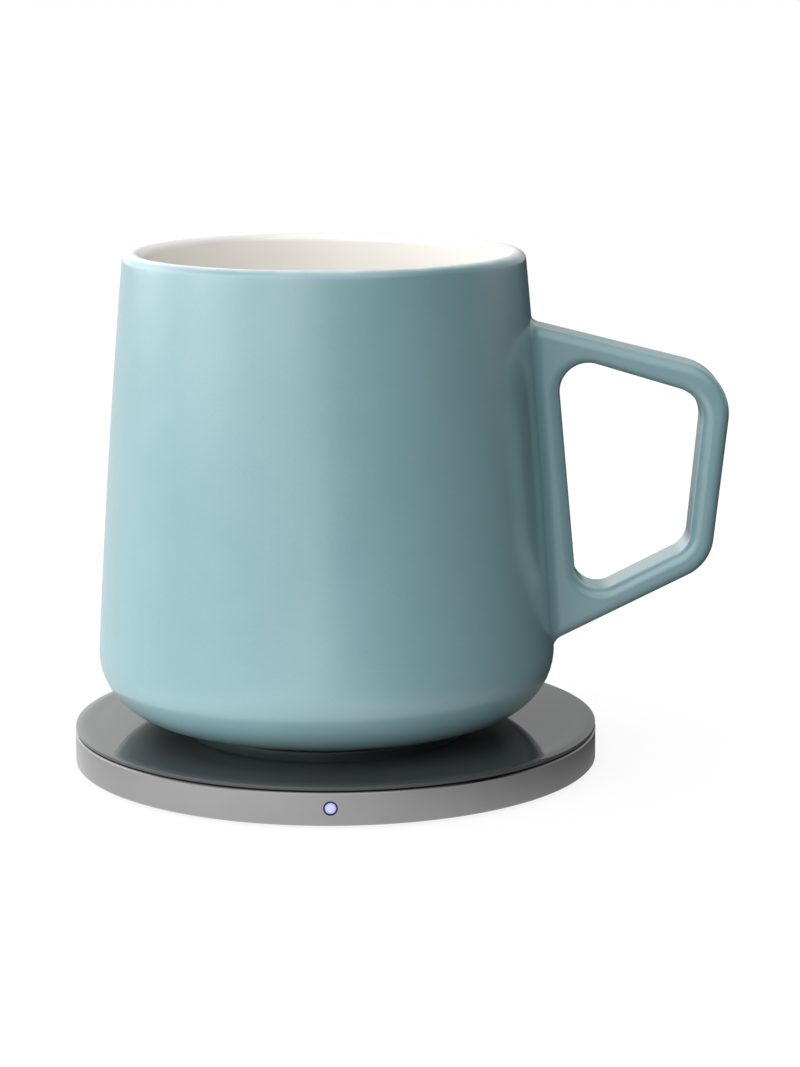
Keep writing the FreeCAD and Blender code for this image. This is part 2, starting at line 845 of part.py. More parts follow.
def power_inlet():
    """Slim reversible inlet: a drawn shell closed at its inner end, a tongue and its contacts."""
    shell = stadium("shell_outer", "inlet_width", "inlet_height", "inlet_depth", "inlet_inner", "inlet_middle")
    hollow = stadium(
        "shell_hollow", "inlet_width - 2 * inlet_wall", "inlet_height - 2 * inlet_wall", "inlet_depth",
        "inlet_inner + inlet_wall", "inlet_middle",
    )
    node(cut("inlet_shell", shell, [hollow]), "inlet_shell")
    root = "inlet_inner + inlet_wall"
    tongue = block(
        "inlet_tongue", "tongue_width", "tongue_length", "tongue_height",
        y=root, z="inlet_middle - tongue_height / 2",
    )
    node(tongue, "inlet_tongue")
    strips = []
    levels = {
        "upper": "inlet_middle + tongue_height / 2",
        "lower": "inlet_middle - tongue_height / 2 - contact_thickness",
    }
    for level, height in levels.items():
        for i in range(CONTACT_COUNT):
            x = f"{i - (CONTACT_COUNT - 1) / 2} * contact_pitch"
            start = f"{root} + tongue_length - contact_length"
            strips.append(
                block(
                    f"contact_{level}_{i}", "contact_width", "contact_length", "contact_thickness",
                    x, start, height,
                )
            )
    node(group("inlet_contacts", strips), "inlet_contacts")


# Lit button


def button():
    """The bezel pressed into the ring, the light-guide cap, the switch and its lamp."""
    sleeve = cylinder(
        "bezel_blank", "bezel_radius", "ring_wall + bezel_proud",
        y="-ring_radius - bezel_proud", z="button_middle", axis="y",
    )
    bore = cylinder(
        "bezel_bore", "cap_radius + cap_clearance", "ring_wall + 2 * bezel_proud",
        y="-ring_radius - bezel_proud", z="button_middle", axis="y",
    )
    node(cut("button_bezel", sleeve, [bore]), "button_bezel")
    body, _ = lathe(
        "button_cap",
        [
            ("0", "cap_tip"),
            ("cap_radius", "cap_edge"),
            ("cap_radius", "flange_front"),
            ("flange_radius", "flange_front"),
            ("flange_radius", "flange_rear"),
            ("cap_radius", "flange_rear"),
            ("cap_radius", "cap_rear"),
            ("0", "cap_rear"),
        ],
        {0: "cap_dome_radius"},
        "XY_Plane",
    )
    node(bind(body, Pz="button_middle"), "button_cap")
    stem = cylinder(
        "switch_stem", "stem_radius", "stem_length", y="stem_front", z="button_middle", axis="y"
    )
    node(stem, "switch_stem")
    case = block("switch_case", "switch_width", "switch_depth", "switch_height", y="switch_front", z="board_top")
    bore = cylinder(
        "switch_bore", "stem_radius + stem_fit", "switch_bore_depth",
        y="switch_front", z="button_middle", axis="y",
    )
    node(cut("switch_body", case, [bore]), "switch_body")
    lamp = block(
        "status_led", "led_width", "led_depth", "led_height", "led_offset", "led_standoff - bore_radius", "board_top"
    )
    node(lamp, "status_led")


def button_board():
    slab = block(
        "button_slab", "button_board_width", "button_board_depth", "board_thickness",
        y="button_board_front", z="board_base",
    )
    holes = [
        cylinder(f"button_board_hole_{i}", "board_screw_radius + screw_fit", "board_thickness", x, y, "board_base")
        for i, (x, y) in enumerate(board_screw_places()[2:])
    ]
    node(cut("button_board", slab, holes), "button_board")


# Mug


def place_mug(body):
    """Stands a piece of the mug on the plate, a little to one side of its centre."""
    return bind(body, Px="mug_offset", Pz="mug_seat")


def mug_body():
    """The cup: slightly bulged wall that widens downwards, round corner, low foot ring, rounded lip."""
    body, feature = lathe(
        "mug_body",
        [
            ("0", "foot_height"),
            ("foot_inner_radius", "foot_height"),
            ("foot_inner_radius", "0"),
            ("foot_radius", "0"),
            ("foot_radius", "foot_height"),
            ("mug_base_radius", "foot_height"),
            ("mug_rim_radius", "mug_height"),
            ("mug_inner_rim", "mug_height"),
            ("mug_inner_base", "mug_floor_top"),
            ("0", "mug_floor_top"),
        ],
        {5: "mug_side_radius"},
    )
    rounds = [
        ("mug_base_radius", "foot_height", "mug_corner"),
        ("mug_inner_base", "mug_floor_top", "mug_inner_corner"),
        ("mug_rim_radius", "mug_height", "lip_round"),
        ("mug_inner_rim", "mug_height", "lip_round"),
        ("foot_radius", "0", "foot_round"),
        ("foot_inner_radius", "0", "foot_round"),
    ]
    for radius, height, size in rounds:
        feature = softened(body, feature, "Fillet", circle_at(radius, height), size)
    node(place_mug(body), "mug_body")


def crossing_edge(u, v):
    """A test for the edge that runs front to back through a point of the XZ plane."""
    x, z = number(u), number(v)

    def test(edge):
        box = edge.BoundBox
        across = box.YLength > NEAR and box.XLength < NEAR and box.ZLength < NEAR
        return across and abs(box.Center.x - x) < NEAR and abs(box.Center.z - z) < NEAR

    return test


def mug_handle():
    """The four-sided strap with a finger gap, cut to lie on the cup's wall."""
    body = doc.addObject("PartDesign::Body", "mug_handle")
    outer_corners = {
        ("handle_low_x", "handle_low_z"): "handle_low_round",
        ("handle_high_x", "handle_high_z"): "handle_high_round",
    }
    gap_corners = {
        ("gap_wall_high_x", "gap_wall_high_z"): "gap_wall_high_round",
        ("gap_wall_low_x", "gap_wall_low_z"): "gap_wall_low_round",
        ("gap_bar_low_x", "gap_bar_low_z"): "gap_bar_low_round",
        ("gap_bar_high_x", "gap_bar_high_z"): "gap_bar_high_round",
    }
    outer = [("root_high_x", "root_high_z"), ("root_low_x", "root_low_z"), *outer_corners]
    strap = padded_outline(body, "handle_outline", outer, "handle_depth")
    opening = body.newObject("PartDesign::Pocket", "handle_opening")
    opening.Profile = outline(body, "gap_outline", "XZ_Plane", list(gap_corners))
    opening.SideType = "Symmetric"
    bind(opening, Length="2 * handle_depth")
    doc.recompute()
    share_left_by_gap, share_left_by_wall = 0.9, 0.97
    if opening.Shape.Volume > share_left_by_gap * strap.Shape.Volume:
        sys.exit("the finger gap cuts nothing")
    feature = opening
    for (u, v), size in {**outer_corners, **gap_corners}.items():
        feature = softened(body, feature, "Fillet", crossing_edge(u, v), size)
    side = number("handle_depth") / 2

    def on_a_side(edge):
        box = edge.BoundBox
        return box.YLength < NEAR and abs(abs(box.Center.y) - side) < NEAR

    feature = softened(body, feature, "Fillet", on_a_side, "strap_round")
    whole = feature.Shape.Volume
    seat = body.newObject("PartDesign::Groove", "handle_seat")
    seat.Profile = outline(
        body,
        "wall_outline",
        "XZ_Plane",
        [
            ("0", "foot_height"),
            ("mug_base_radius + handle_seam", "foot_height"),
            ("mug_rim_radius + handle_seam", "mug_height"),
            ("0", "mug_height"),
        ],
        {1: "mug_side_radius"},
    )
    seat.ReferenceAxis = (seat.Profile[0], ["V_Axis"])
    seat.Angle = 360
    doc.recompute()
    if seat.Shape.Volume > share_left_by_wall * whole or len(seat.Shape.Solids) != 1:
        sys.exit("the handle isn't cut to the cup's wall as one solid")
    node(place_mug(body), "mug_handle")


def check_model():
    """Stops if any object failed or any piece has no valid solid."""
    doc.recompute()
    for item in doc.Objects:
        if "Invalid" in item.State or "Error" in item.State:
            sys.exit(f"{item.Label} failed: {item.State}")
    for name, item in nodes.items():
        shape = item.Shape
        if shape.isNull() or not shape.isValid() or not shape.Solids:
            sys.exit(f"{name} has no valid solid")


def write_pieces():
    os.makedirs("parts", exist_ok=True)
    for name, item in nodes.items():
        item.Shape.exportStep(f"parts/{name}.step")
        box = item.Shape.BoundBox
        print(
            f"{name}: {len(item.Shape.Solids)} solids, {item.Shape.Volume:.2f} mm3, "
            f"x {box.XMin:.2f}..{box.XMax:.2f} y {box.YMin:.2f}..{box.YMax:.2f} z {box.ZMin:.2f}..{box.ZMax:.2f}"
        )


fill_sheet()
base_pad()
base_cover()
base_screws()
housing_ring()
plate_and_seal()
heating_stack()
heater_track()
sensing()
wiring()
main_board()
board_screws()
power_inlet()
button()
button_board()
mug_body()
mug_handle()
check_model()
write_pieces()
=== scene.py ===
"""Looks of a slim electric mug warmer with the ceramic mug that stands on it.

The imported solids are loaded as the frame. The mug, its handle, the glass plate and the foot pad are
worked out here as finer surfaces, the other pieces keep their solids, and every piece gets a finish.
Sizes are in millimetres and are turned into metres where a mesh is made.
"""

from __future__ import annotations

import logging
import math
from dataclasses import dataclass, field
from enum import Enum

import bpy
import numpy as np
from mathutils import Euler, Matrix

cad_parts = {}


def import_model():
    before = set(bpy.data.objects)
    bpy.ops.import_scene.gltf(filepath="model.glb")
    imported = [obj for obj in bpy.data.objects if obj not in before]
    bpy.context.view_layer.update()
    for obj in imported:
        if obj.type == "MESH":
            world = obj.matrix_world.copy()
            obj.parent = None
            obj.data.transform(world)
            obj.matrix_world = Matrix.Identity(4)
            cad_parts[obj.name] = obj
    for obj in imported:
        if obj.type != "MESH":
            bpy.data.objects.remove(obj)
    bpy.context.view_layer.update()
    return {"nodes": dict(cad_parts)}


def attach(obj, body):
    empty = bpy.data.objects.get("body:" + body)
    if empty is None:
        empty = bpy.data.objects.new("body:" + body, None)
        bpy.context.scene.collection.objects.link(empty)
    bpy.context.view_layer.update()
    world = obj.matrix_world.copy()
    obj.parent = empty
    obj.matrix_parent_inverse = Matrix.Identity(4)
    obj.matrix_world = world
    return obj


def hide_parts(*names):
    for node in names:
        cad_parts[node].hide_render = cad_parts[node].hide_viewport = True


LOG = logging.getLogger("mug_warmer")
MM = 0.001
CLAY_ATTRIBUTE = "past_lip_mm"

Colour = tuple[float, float, float]
Corners = tuple[tuple[float, float], ...]
Socket = bpy.types.NodeSocket


class Body(Enum):
    """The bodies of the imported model."""

    WARMER = "warmer"
    BUTTON = "button"
    MUG = "mug"


class Slot(Enum):
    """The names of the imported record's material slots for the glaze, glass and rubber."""

    GLAZE = "teal_glaze"
    GLASS = "dark_glass"
    RUBBER = "foot_rubber"


# Node trees


class Graph:
    """The nodes of a material or of the world, with short calls for what the finishes share."""

    def __init__(self, owner: bpy.types.Material | bpy.types.World) -> None:
        """Empties a material or world and gives it an output node.

        Args:
            owner: What the nodes belong to.
        """
        owner.use_nodes = True
        self.owner = owner
        self.tree = owner.node_tree
        self.tree.nodes.clear()
        kind = "World" if isinstance(owner, bpy.types.World) else "Material"
        self.output = self.tree.nodes.new(f"ShaderNodeOutput{kind}")

    @classmethod
    def of_material(cls, name: str) -> Graph:
        """The nodes of a new material."""
        return cls(bpy.data.materials.new(name))

    def put(self, socket: Socket, value: object) -> None:
        """Links a socket to another, or sets it to a plain value.

        Args:
            socket: The input to fill.
            value: An output socket, a number or a colour of three parts.
        """
        if isinstance(value, bpy.types.NodeSocket):
            self.tree.links.new(value, socket)
        elif isinstance(value, tuple) and socket.type == "RGBA":
            socket.default_value = (*value, 1.0)
        else:
            socket.default_value = value

    def add(
        self, kind: str, options: dict[str, object] | None = None, **inputs: object
    ) -> bpy.types.Node:
        """Adds a node.

        Args:
            kind: The node's type, without its ShaderNode prefix.
            options: The node's properties by name.
            **inputs: Its inputs by name, with an underscore for each space.

        Returns:
            The new node.
        """
        node = self.tree.nodes.new(f"ShaderNode{kind}")
        for name, value in (options or {}).items():
            setattr(node, name, value)
        for name, value in inputs.items():
            self.put(node.inputs[name.replace("_", " ")], value)
        return node

    def place(self) -> Socket:
        """The point on the piece, in metres in the model's own frame."""
        return self.add("TexCoord").outputs["Object"]

    def parts(self, vector: Socket) -> tuple[Socket, Socket, Socket]:
        """The x, y and z of a vector."""
        node = self.add("SeparateXYZ", Vector=vector)
        return node.outputs["X"], node.outputs["Y"], node.outputs["Z"]

    def maths(self, operation: str, *values: object) -> Socket:
        """The result of a maths node on one, two or three values."""
        node = self.add("Math", {"operation": operation})
        for place, value in enumerate(values):
            self.put(node.inputs[place], value)
        return node.outputs[0]

    def blend(self, share: object, first: Colour | Socket, second: Colour | Socket) -> Socket:
        """A colour between two, first where share is 0 and second where it is 1."""
        node = self.add("Mix", {"data_type": "RGBA"})
        self.put(node.inputs[0], share)
        self.put(node.inputs[6], first)
        self.put(node.inputs[7], second)
        return node.outputs[2]

    def noise(
        self, size: float, detail: float = 2.0, vector: Socket | None = None, warp: float = 0.0
    ) -> Socket:
        """A cloudy value from 0 to 1 whose patches are about size millimetres across."""
        node = self.add("TexNoise", Scale=1.0 / (size * MM), Detail=detail, Distortion=warp)
        self.put(node.inputs["Vector"], vector or self.place())
        return node.outputs["Fac"]

    def cells(self, size: float, feature: str = "F1", regular: float = 0.0) -> Socket:
        """The distance pattern of cells about size millimetres across, in rows where regular is 1."""
        scale = 1.0 / (size * MM)
        node = self.add("TexVoronoi", {"feature": feature}, Scale=scale, Randomness=1.0 - regular)
        self.put(node.inputs["Vector"], self.place())
        return node.outputs["Distance"]

    def spread(self, value: Socket, low: float, high: float, new_low: float, new_high: float) -> Socket:
        """A value carried smoothly from one range to another and held at its ends."""
        node = self.add("MapRange", {"interpolation_type": "SMOOTHSTEP"}, Value=value)
        names = ("From Min", "From Max", "To Min", "To Max")
        for name, number in zip(names, (low, high, new_low, new_high)):
            node.inputs[name].default_value = number
        return node.outputs[0]

    def toned(self, colour: Colour, factor: Socket) -> Socket:
        """A colour times a factor."""
        node = self.add("VectorMath", {"operation": "SCALE"})
        node.inputs[0].default_value = colour
        self.put(node.inputs["Scale"], factor)
        return node.outputs[0]

    def stretched(self, x: float, y: float, z: float) -> Socket:
        """The point on the piece, scaled by a factor along each axis."""
        node = self.add("Mapping", Vector=self.place())
        node.inputs["Scale"].default_value = (x, y, z)
        return node.outputs[0]

    def around_axis(self, across: float, along: float) -> Socket:
        """Radius, turn and height about the Z axis, for lines that run round a turned piece.

        Args:
            across: Factor on radius and height.
            along: Factor on the turn, in metres per radian.

        Returns:
            The vector to read a pattern with.
        """
        x, y, z = self.parts(self.place())
        square = self.maths("ADD", self.maths("MULTIPLY", x, x), self.maths("MULTIPLY", y, y))
        radius = self.maths("SQRT", square)
        node = self.add("CombineXYZ")
        self.put(node.inputs[0], self.maths("MULTIPLY", radius, across))
        self.put(node.inputs[1], self.maths("MULTIPLY", self.maths("ARCTAN2", y, x), along))
        self.put(node.inputs[2], self.maths("MULTIPLY", z, across))
        return node.outputs[0]

    def relief(self, height: Socket, depth: float, under: Socket | None = None) -> Socket:
        """The normal of a surface with a relief of depth millimetres.

        Args:
            height: The relief from 0 to 1.
            depth: How deep it goes, in millimetres.
            under: The normal of a relief beneath this one.

        Returns:
            The normal for a shader.
        """
        node = self.add("Bump", Height=height, Strength=1.0, Distance=depth * MM)
        if under is not None:
            self.put(node.inputs["Normal"], under)
        return node.outputs["Normal"]

    def surface(self, **inputs: object) -> bpy.types.Material:
        """Ends the material with a Principled shader that has these inputs.

        Returns:
            The finished material.
        """
        shader = self.add("BsdfPrincipled", **inputs)
        self.tree.links.new(shader.outputs[0], self.output.inputs["Surface"])
        return self.owner

    def camera_split(self, bounced: bpy.types.Node, seen: list[bpy.types.Node]) -> None:
        """Ends the tree with one shader for bounced rays and the sum of others for the camera's own.

        Args:
            bounced: The shader that light and reflections meet.
            seen: One or two shaders that the camera sees, added together.
        """
        shown = seen[0].outputs[0]
        if len(seen) > 1:
            both = self.add("AddShader")
            for place, shader in enumerate(seen):
                self.tree.links.new(shader.outputs[0], both.inputs[place])
            shown = both.outputs[0]
        mix = self.add("MixShader", Fac=self.add("LightPath").outputs["Is Camera Ray"])
        self.tree.links.new(bounced.outputs[0], mix.inputs[1])
        self.tree.links.new(shown, mix.inputs[2])
        self.tree.links.new(mix.outputs[0], self.output.inputs["Surface"])


# Finishes


@dataclass(frozen=True)
class Glaze:
    """Satin coloured glaze outside and pale gloss glaze inside, over fired clay."""

    name: str = "teal_glaze"
    outside: Colour = (0.24, 0.405, 0.44)
    inside: Colour = (0.955, 0.93, 0.885)
    clay: Colour = (0.62, 0.52, 0.42)
    lining_over_lip: float = 0.7
    fade: float = 1.1
    bare_below: float = 8.75
    outside_roughness: float = 0.22
    inside_roughness: float = 0.14
    mottle: float = 0.015

    def build(self) -> bpy.types.Material:
        """The glaze as a material, which reads the distance past the lip that each point holds.

        The line between the two glazes wanders with a cloudy value, and the foot's rim is bare clay.
        """
        graph = Graph.of_material(self.name)
        past = graph.add("Attribute", {"attribute_name": CLAY_ATTRIBUTE}).outputs["Fac"]
        wander = graph.maths("MULTIPLY", graph.maths("SUBTRACT", graph.noise(6.0, 3.0), 0.5), 1.0)
        wandering = graph.maths("ADD", past, wander)
        low, high = self.lining_over_lip - self.fade, self.lining_over_lip + self.fade
        outer = graph.spread(wandering, low, high, 0.0, 1.0)
        cloud = graph.spread(graph.noise(14.0, 3.0), 0.3, 0.7, 1.0 - self.mottle, 1.0 + self.mottle)
        grains = graph.spread(graph.noise(0.5, 2.0), 0.25, 0.75, 0.985, 1.015)
        outside = graph.toned(self.outside, graph.maths("MULTIPLY", cloud, grains))
        colour = graph.blend(outer, self.inside, outside)
        height = graph.parts(graph.place())[2]
        bare = graph.spread(height, (self.bare_below - 0.1) * MM, (self.bare_below + 0.05) * MM, 1.0, 0.0)
        colour = graph.blend(bare, colour, self.clay)
        rough = graph.maths("ADD", self.inside_roughness, graph.maths(
            "MULTIPLY", outer, self.outside_roughness - self.inside_roughness))
        rough = graph.maths("ADD", rough, graph.maths("MULTIPLY", bare, 0.4))
        rough = graph.maths("ADD", rough, graph.spread(graph.noise(6.0, 4.0), 0.3, 0.7, -0.02, 0.03))
        peel = graph.relief(graph.noise(2.4, 2.0), 0.012)
        pores = graph.relief(graph.noise(0.35, 1.0), 0.002, under=peel)
        return graph.surface(Base_Color=colour, Roughness=rough, Normal=pores, IOR=1.8)


@dataclass(frozen=True)
class TurnedMetal:
    """Satin metal with fine lines that run round the piece from turning."""

    name: str
    colour: Colour
    roughness: float
    # painted shade: the two fields below give the height above which the top bevel's tone is darkened, and
    # the factor it is darkened by
    painted_shade_above: float = 1000.0
    shade: float = 0.42
    line_width: float = 0.08
    line_depth: float = 0.0006

    def build(self) -> bpy.types.Material:
        """The metal: lines read radius and height finely and the turn coarsely, plus faint handling marks.

        Above the painted-shade height, which is the small top bevel, painted shade cuts the tone for the
        look alone, so that the bevel's highlight doesn't read as a white line.
        """
        graph = Graph.of_material(self.name)
        lines = graph.noise(self.line_width, 3.0, graph.around_axis(1.0, 0.0015))
        haze = graph.noise(9.0, 4.0)
        streaks = graph.spread(lines, 0.3, 0.7, 0.985, 1.015)
        tone = graph.maths("MULTIPLY", streaks, graph.spread(haze, 0.3, 0.7, 0.985, 1.015))
        height = graph.parts(graph.place())[2]
        low, high = (self.painted_shade_above - 0.06) * MM, (self.painted_shade_above + 0.02) * MM
        # painted shade: above the bevel's height the tone is multiplied down to the shade factor, to hide the
        # bevel's highlight
        tone = graph.maths("MULTIPLY", tone, graph.spread(height, low, high, 1.0, self.shade))
        colour = graph.toned(self.colour, tone)
        rough = graph.spread(graph.noise(4.0, 5.0), 0.3, 0.7, self.roughness - 0.02, self.roughness + 0.03)
        normal = graph.relief(lines, self.line_depth)
        return graph.surface(Base_Color=colour, Metallic=1.0, Roughness=rough, Normal=normal)


@dataclass(frozen=True)
class RolledMetal:
    """Sheet or plated metal with faint drawn lines along one way and a spotted haze."""

    name: str
    colour: Colour
    roughness: float
    tarnish: float = 0.12

    def build(self) -> bpy.types.Material:
        """The metal: lines are a cloudy value that is stretched along X."""
        graph = Graph.of_material(self.name)
        lines = graph.noise(0.12, 2.0, graph.stretched(0.04, 1.0, 1.0))
        haze = graph.noise(3.0, 4.0)
        dull = tuple(part * (1.0 - self.tarnish) for part in self.colour)
        colour = graph.blend(graph.spread(haze, 0.3, 0.75, 0.0, 1.0), self.colour, dull)
        rough = graph.spread(lines, 0.3, 0.7, self.roughness - 0.05, self.roughness + 0.08)
        normal = graph.relief(lines, 0.002)
        return graph.surface(Base_Color=colour, Metallic=1.0, Roughness=rough, Normal=normal)


@dataclass(frozen=True)
class PolishedGlass:
    """Dark backed glass with a polished face and the faintest smears."""

    name: str
    colour: Colour
    roughness: float = 0.035

    def build(self) -> bpy.types.Material:
        """The glass: smears and a few specks of dust lift the roughness a little."""
        graph = Graph.of_material(self.name)
        smear = graph.spread(graph.noise(18.0, 5.0, warp=1.5), 0.42, 0.8, 0.0, 0.05)
        speck = graph.spread(graph.cells(2.6), 0.0, 0.035, 0.12, 0.0)
        rough = graph.maths("ADD", graph.maths("ADD", smear, speck), self.roughness)
        deep = tuple(part * 0.7 for part in self.colour)
        colour = graph.blend(graph.noise(25.0, 2.0), self.colour, deep)
        ripple = graph.relief(graph.noise(30.0, 1.0), 0.004)
        return graph.surface(Base_Color=colour, Roughness=rough, Normal=ripple, IOR=1.52)


@dataclass(frozen=True)
class Moulded:
    """Moulded plastic or rubber with a fine spark-eroded grain and a dusty cloud."""

    name: str
    colour: Colour
    roughness: float
    grain: float = 0.25
    depth: float = 0.012
    dust: float = 0.15

    def build(self) -> bpy.types.Material:
        """The grain is a cell pattern mixed with a fine cloudy value, and dust pales the colour."""
        graph = Graph.of_material(self.name)
        cells = graph.cells(self.grain)
        fine = graph.noise(self.grain * 0.5, 3.0)
        height = graph.maths("ADD", graph.maths("MULTIPLY", cells, 0.6), graph.maths("MULTIPLY", fine, 0.4))
        pale = tuple(part + (0.25 - part) * self.dust for part in self.colour)
        colour = graph.blend(graph.spread(graph.noise(7.0, 5.0), 0.35, 0.75, 0.0, 1.0), self.colour, pale)
        rough = graph.spread(graph.noise(2.0, 4.0), 0.3, 0.7, self.roughness - 0.05, self.roughness + 0.07)
        return graph.surface(Base_Color=colour, Roughness=rough, Normal=graph.relief(height, self.depth))


@dataclass(frozen=True)
class Lens:
    """A frosted light guide that glows from the lamp behind it."""

    name: str
    centre: tuple[float, float, float]
    radius: float
    colour: Colour = (0.40, 0.42, 0.70)
    glow: Colour = (0.74, 0.76, 1.0)
    rim_glow: Colour = (0.30, 0.34, 0.86)
    strength: float = 0.25

    def build(self) -> bpy.types.Material:
        """The lens glows most at its middle and bluer towards its rim, by the distance from its axis."""
        graph = Graph.of_material(self.name)
        x, _, z = graph.parts(graph.place())
        across = graph.maths("SUBTRACT", x, self.centre[0] * MM)
        up = graph.maths("SUBTRACT", z, self.centre[2] * MM)
        square = graph.maths("ADD", graph.maths("MULTIPLY", across, across), graph.maths("MULTIPLY", up, up))
        share = graph.maths("DIVIDE", graph.maths("SQRT", square), self.radius * MM)
        glow = graph.blend(graph.spread(share, 0.35, 1.0, 0.0, 1.0), self.glow, self.rim_glow)
        frost = graph.relief(graph.noise(0.12, 2.0), 0.004)
        return graph.surface(
            Base_Color=self.colour,
            Roughness=graph.spread(graph.noise(0.4, 3.0), 0.3, 0.7, 0.32, 0.42),
            Emission_Color=glow,
            Emission_Strength=self.strength,
            Normal=frost,
        )


@dataclass(frozen=True)
class Felt:
    """Needled felt of fine pale fibres that lie every way."""

    name: str
    colour: Colour

    def build(self) -> bpy.types.Material:
        """Fibres are cloudy values that are stretched along X and along Y, laid over each other."""
        graph = Graph.of_material(self.name)
        first = graph.noise(0.2, 3.0, graph.stretched(0.15, 1.0, 1.0), warp=0.6)
        second = graph.noise(0.2, 3.0, graph.stretched(1.0, 0.15, 1.0), warp=0.6)
        fibres = graph.maths("MAXIMUM", first, second)
        shade = tuple(part * 0.72 for part in self.colour)
        colour = graph.blend(graph.spread(fibres, 0.4, 0.75, 0.0, 1.0), shade, self.colour)
        normal = graph.relief(fibres, 0.08)
        return graph.surface(Base_Color=colour, Roughness=0.95, Normal=normal, Sheen_Weight=0.3)


@dataclass(frozen=True)
class CoatedFilm:
    """Clear amber film over metal foil, a little rippled."""

    name: str
    colour: Colour

    def build(self) -> bpy.types.Material:
        """The film: ripples a few millimetres across under a smooth coat."""
        graph = Graph.of_material(self.name)
        cloud = graph.noise(5.0, 3.0, warp=0.8)
        deep = tuple(part * 0.75 for part in self.colour)
        colour = graph.blend(cloud, self.colour, deep)
        normal = graph.relief(cloud, 0.03)
        coat = {"Coat_Weight": 0.6, "Coat_Roughness": 0.1}
        return graph.surface(Base_Color=colour, Roughness=0.22, Normal=normal, **coat)


@dataclass(frozen=True)
class SolderMask:
    """Green lacquer over copper tracks on a circuit board."""

    name: str
    mask: Colour
    copper: Colour = (0.10, 0.30, 0.10)

    def build(self) -> bpy.types.Material:
        """Tracks are the lines between square cells, raised under the lacquer."""
        graph = Graph.of_material(self.name)
        track = graph.spread(graph.cells(1.6, "DISTANCE_TO_EDGE", regular=0.45), 0.06, 0.12, 1.0, 0.0)
        weave = graph.noise(0.3, 2.0)
        colour = graph.blend(track, self.mask, self.copper)
        normal = graph.relief(weave, 0.003, under=graph.relief(track, 0.02))
        coat = {"Coat_Weight": 0.4, "Coat_Roughness": 0.15}
        return graph.surface(Base_Color=colour, Roughness=0.28, Normal=normal, **coat)


@dataclass(frozen=True)
class Fired:
    """Fired or cast material with fine grains of two tones."""

    name: str
    colour: Colour
    roughness: float
    grain: float = 0.12

    def build(self) -> bpy.types.Material:
        """Grains are cells with a darker tone towards their edges."""
        graph = Graph.of_material(self.name)
        grains = graph.cells(self.grain)
        dark = tuple(part * 0.8 for part in self.colour)
        colour = graph.blend(graph.spread(grains, 0.2, 0.8, 0.0, 1.0), self.colour, dark)
        return graph.surface(Base_Color=colour, Roughness=self.roughness, Normal=graph.relief(grains, 0.006))


# Surfaces


def rounded_outline(corners: np.ndarray, radii: np.ndarray, steps: int, closed: bool) -> np.ndarray:
    """A line through corners, with an arc of the given radius at each corner that has one.

    Each arc touches both sides at radius / tan(half the corner's angle) from the corner, and its
    centre lies at radius / sin(half the angle) along the line that halves the angle.

    Args:
        corners: The corners in order, as rows of two.
        radii: The radius at each corner, 0 for a sharp one.
        steps: Points along each arc, less one.
        closed: Whether the last corner is joined to the first.

    Returns:
        The points as rows of two.
    """
    points = []
    count = len(corners)
    for index, (corner, radius) in enumerate(zip(corners, radii)):
        inner = closed or 0 < index < count - 1
        if not inner or radius <= 0:
            points.append(corner[None, :])
            continue
        back = corners[index - 1] - corner
        ahead = corners[(index + 1) % count] - corner
        back = back / np.linalg.norm(back)
        ahead = ahead / np.linalg.norm(ahead)
        half = math.acos(float(np.clip(back @ ahead, -1.0, 1.0))) / 2
        middle = (back + ahead) / np.linalg.norm(back + ahead)
        centre = corner + middle * radius / math.sin(half)
        first = corner + back * radius / math.tan(half) - centre
        last = corner + ahead * radius / math.tan(half) - centre
        share = np.linspace(0.0, 1.0, steps + 1)[:, None]
        turn = math.pi - 2 * half
        arc = (np.sin((1 - share) * turn) * first + np.sin(share * turn) * last) / math.sin(turn)
        points.append(centre + arc)
    return np.concatenate(points)


def finely_spaced(points: np.ndarray, longest: float) -> np.ndarray:
    """The line with points added on its long runs, so that no step is longer than longest."""
    made = [points[:1]]
    for start, end in zip(points, points[1:]):
        count = max(1, math.ceil(float(np.linalg.norm(end - start)) / longest))
        share = np.linspace(0.0, 1.0, count + 1)[1:, None]
        made.append(start + (end - start) * share)
    return np.concatenate(made)


def grid_faces(rows: int, columns: int, wrap_rows: bool) -> np.ndarray:
    """The four corners of each face of a grid whose columns close round on themselves.

    Args:
        rows: Number of rows of points.
        columns: Number of points in a row.
        wrap_rows: Whether the last row is joined to the first.

    Returns:
        Faces as rows of four point numbers.
    """
    row = np.arange(rows if wrap_rows else rows - 1)[:, None]
    column = np.arange(columns)[None, :]
    next_row = (row + 1) % rows
    next_column = (column + 1) % columns
    corners = [
        row * columns + column,
        row * columns + next_column,
        next_row * columns + next_column,
        next_row * columns + column,
    ]
    return np.stack([np.broadcast_to(c, (row.size, columns)) for c in corners], axis=-1).reshape(-1, 4)


def mesh_piece(name: str, points: np.ndarray, faces: list[np.ndarray]) -> bpy.types.Object:
    """An object at the origin whose mesh has these points and faces, with faces outwards and smooth.

    Args:
        name: The piece's name.
        points: Points in millimetres, as rows of three.
        faces: Arrays of point numbers, each with one number of corners.

    Returns:
        The object, linked to the scene.
    """
    mesh = bpy.data.meshes.new(name)
    mesh.from_pydata((points * MM).tolist(), [], [face for block in faces for face in block.tolist()])
    mesh.validate()
    mesh.shade_smooth()
    item = bpy.data.objects.new(name, mesh)
    bpy.context.scene.collection.objects.link(item)
    return item


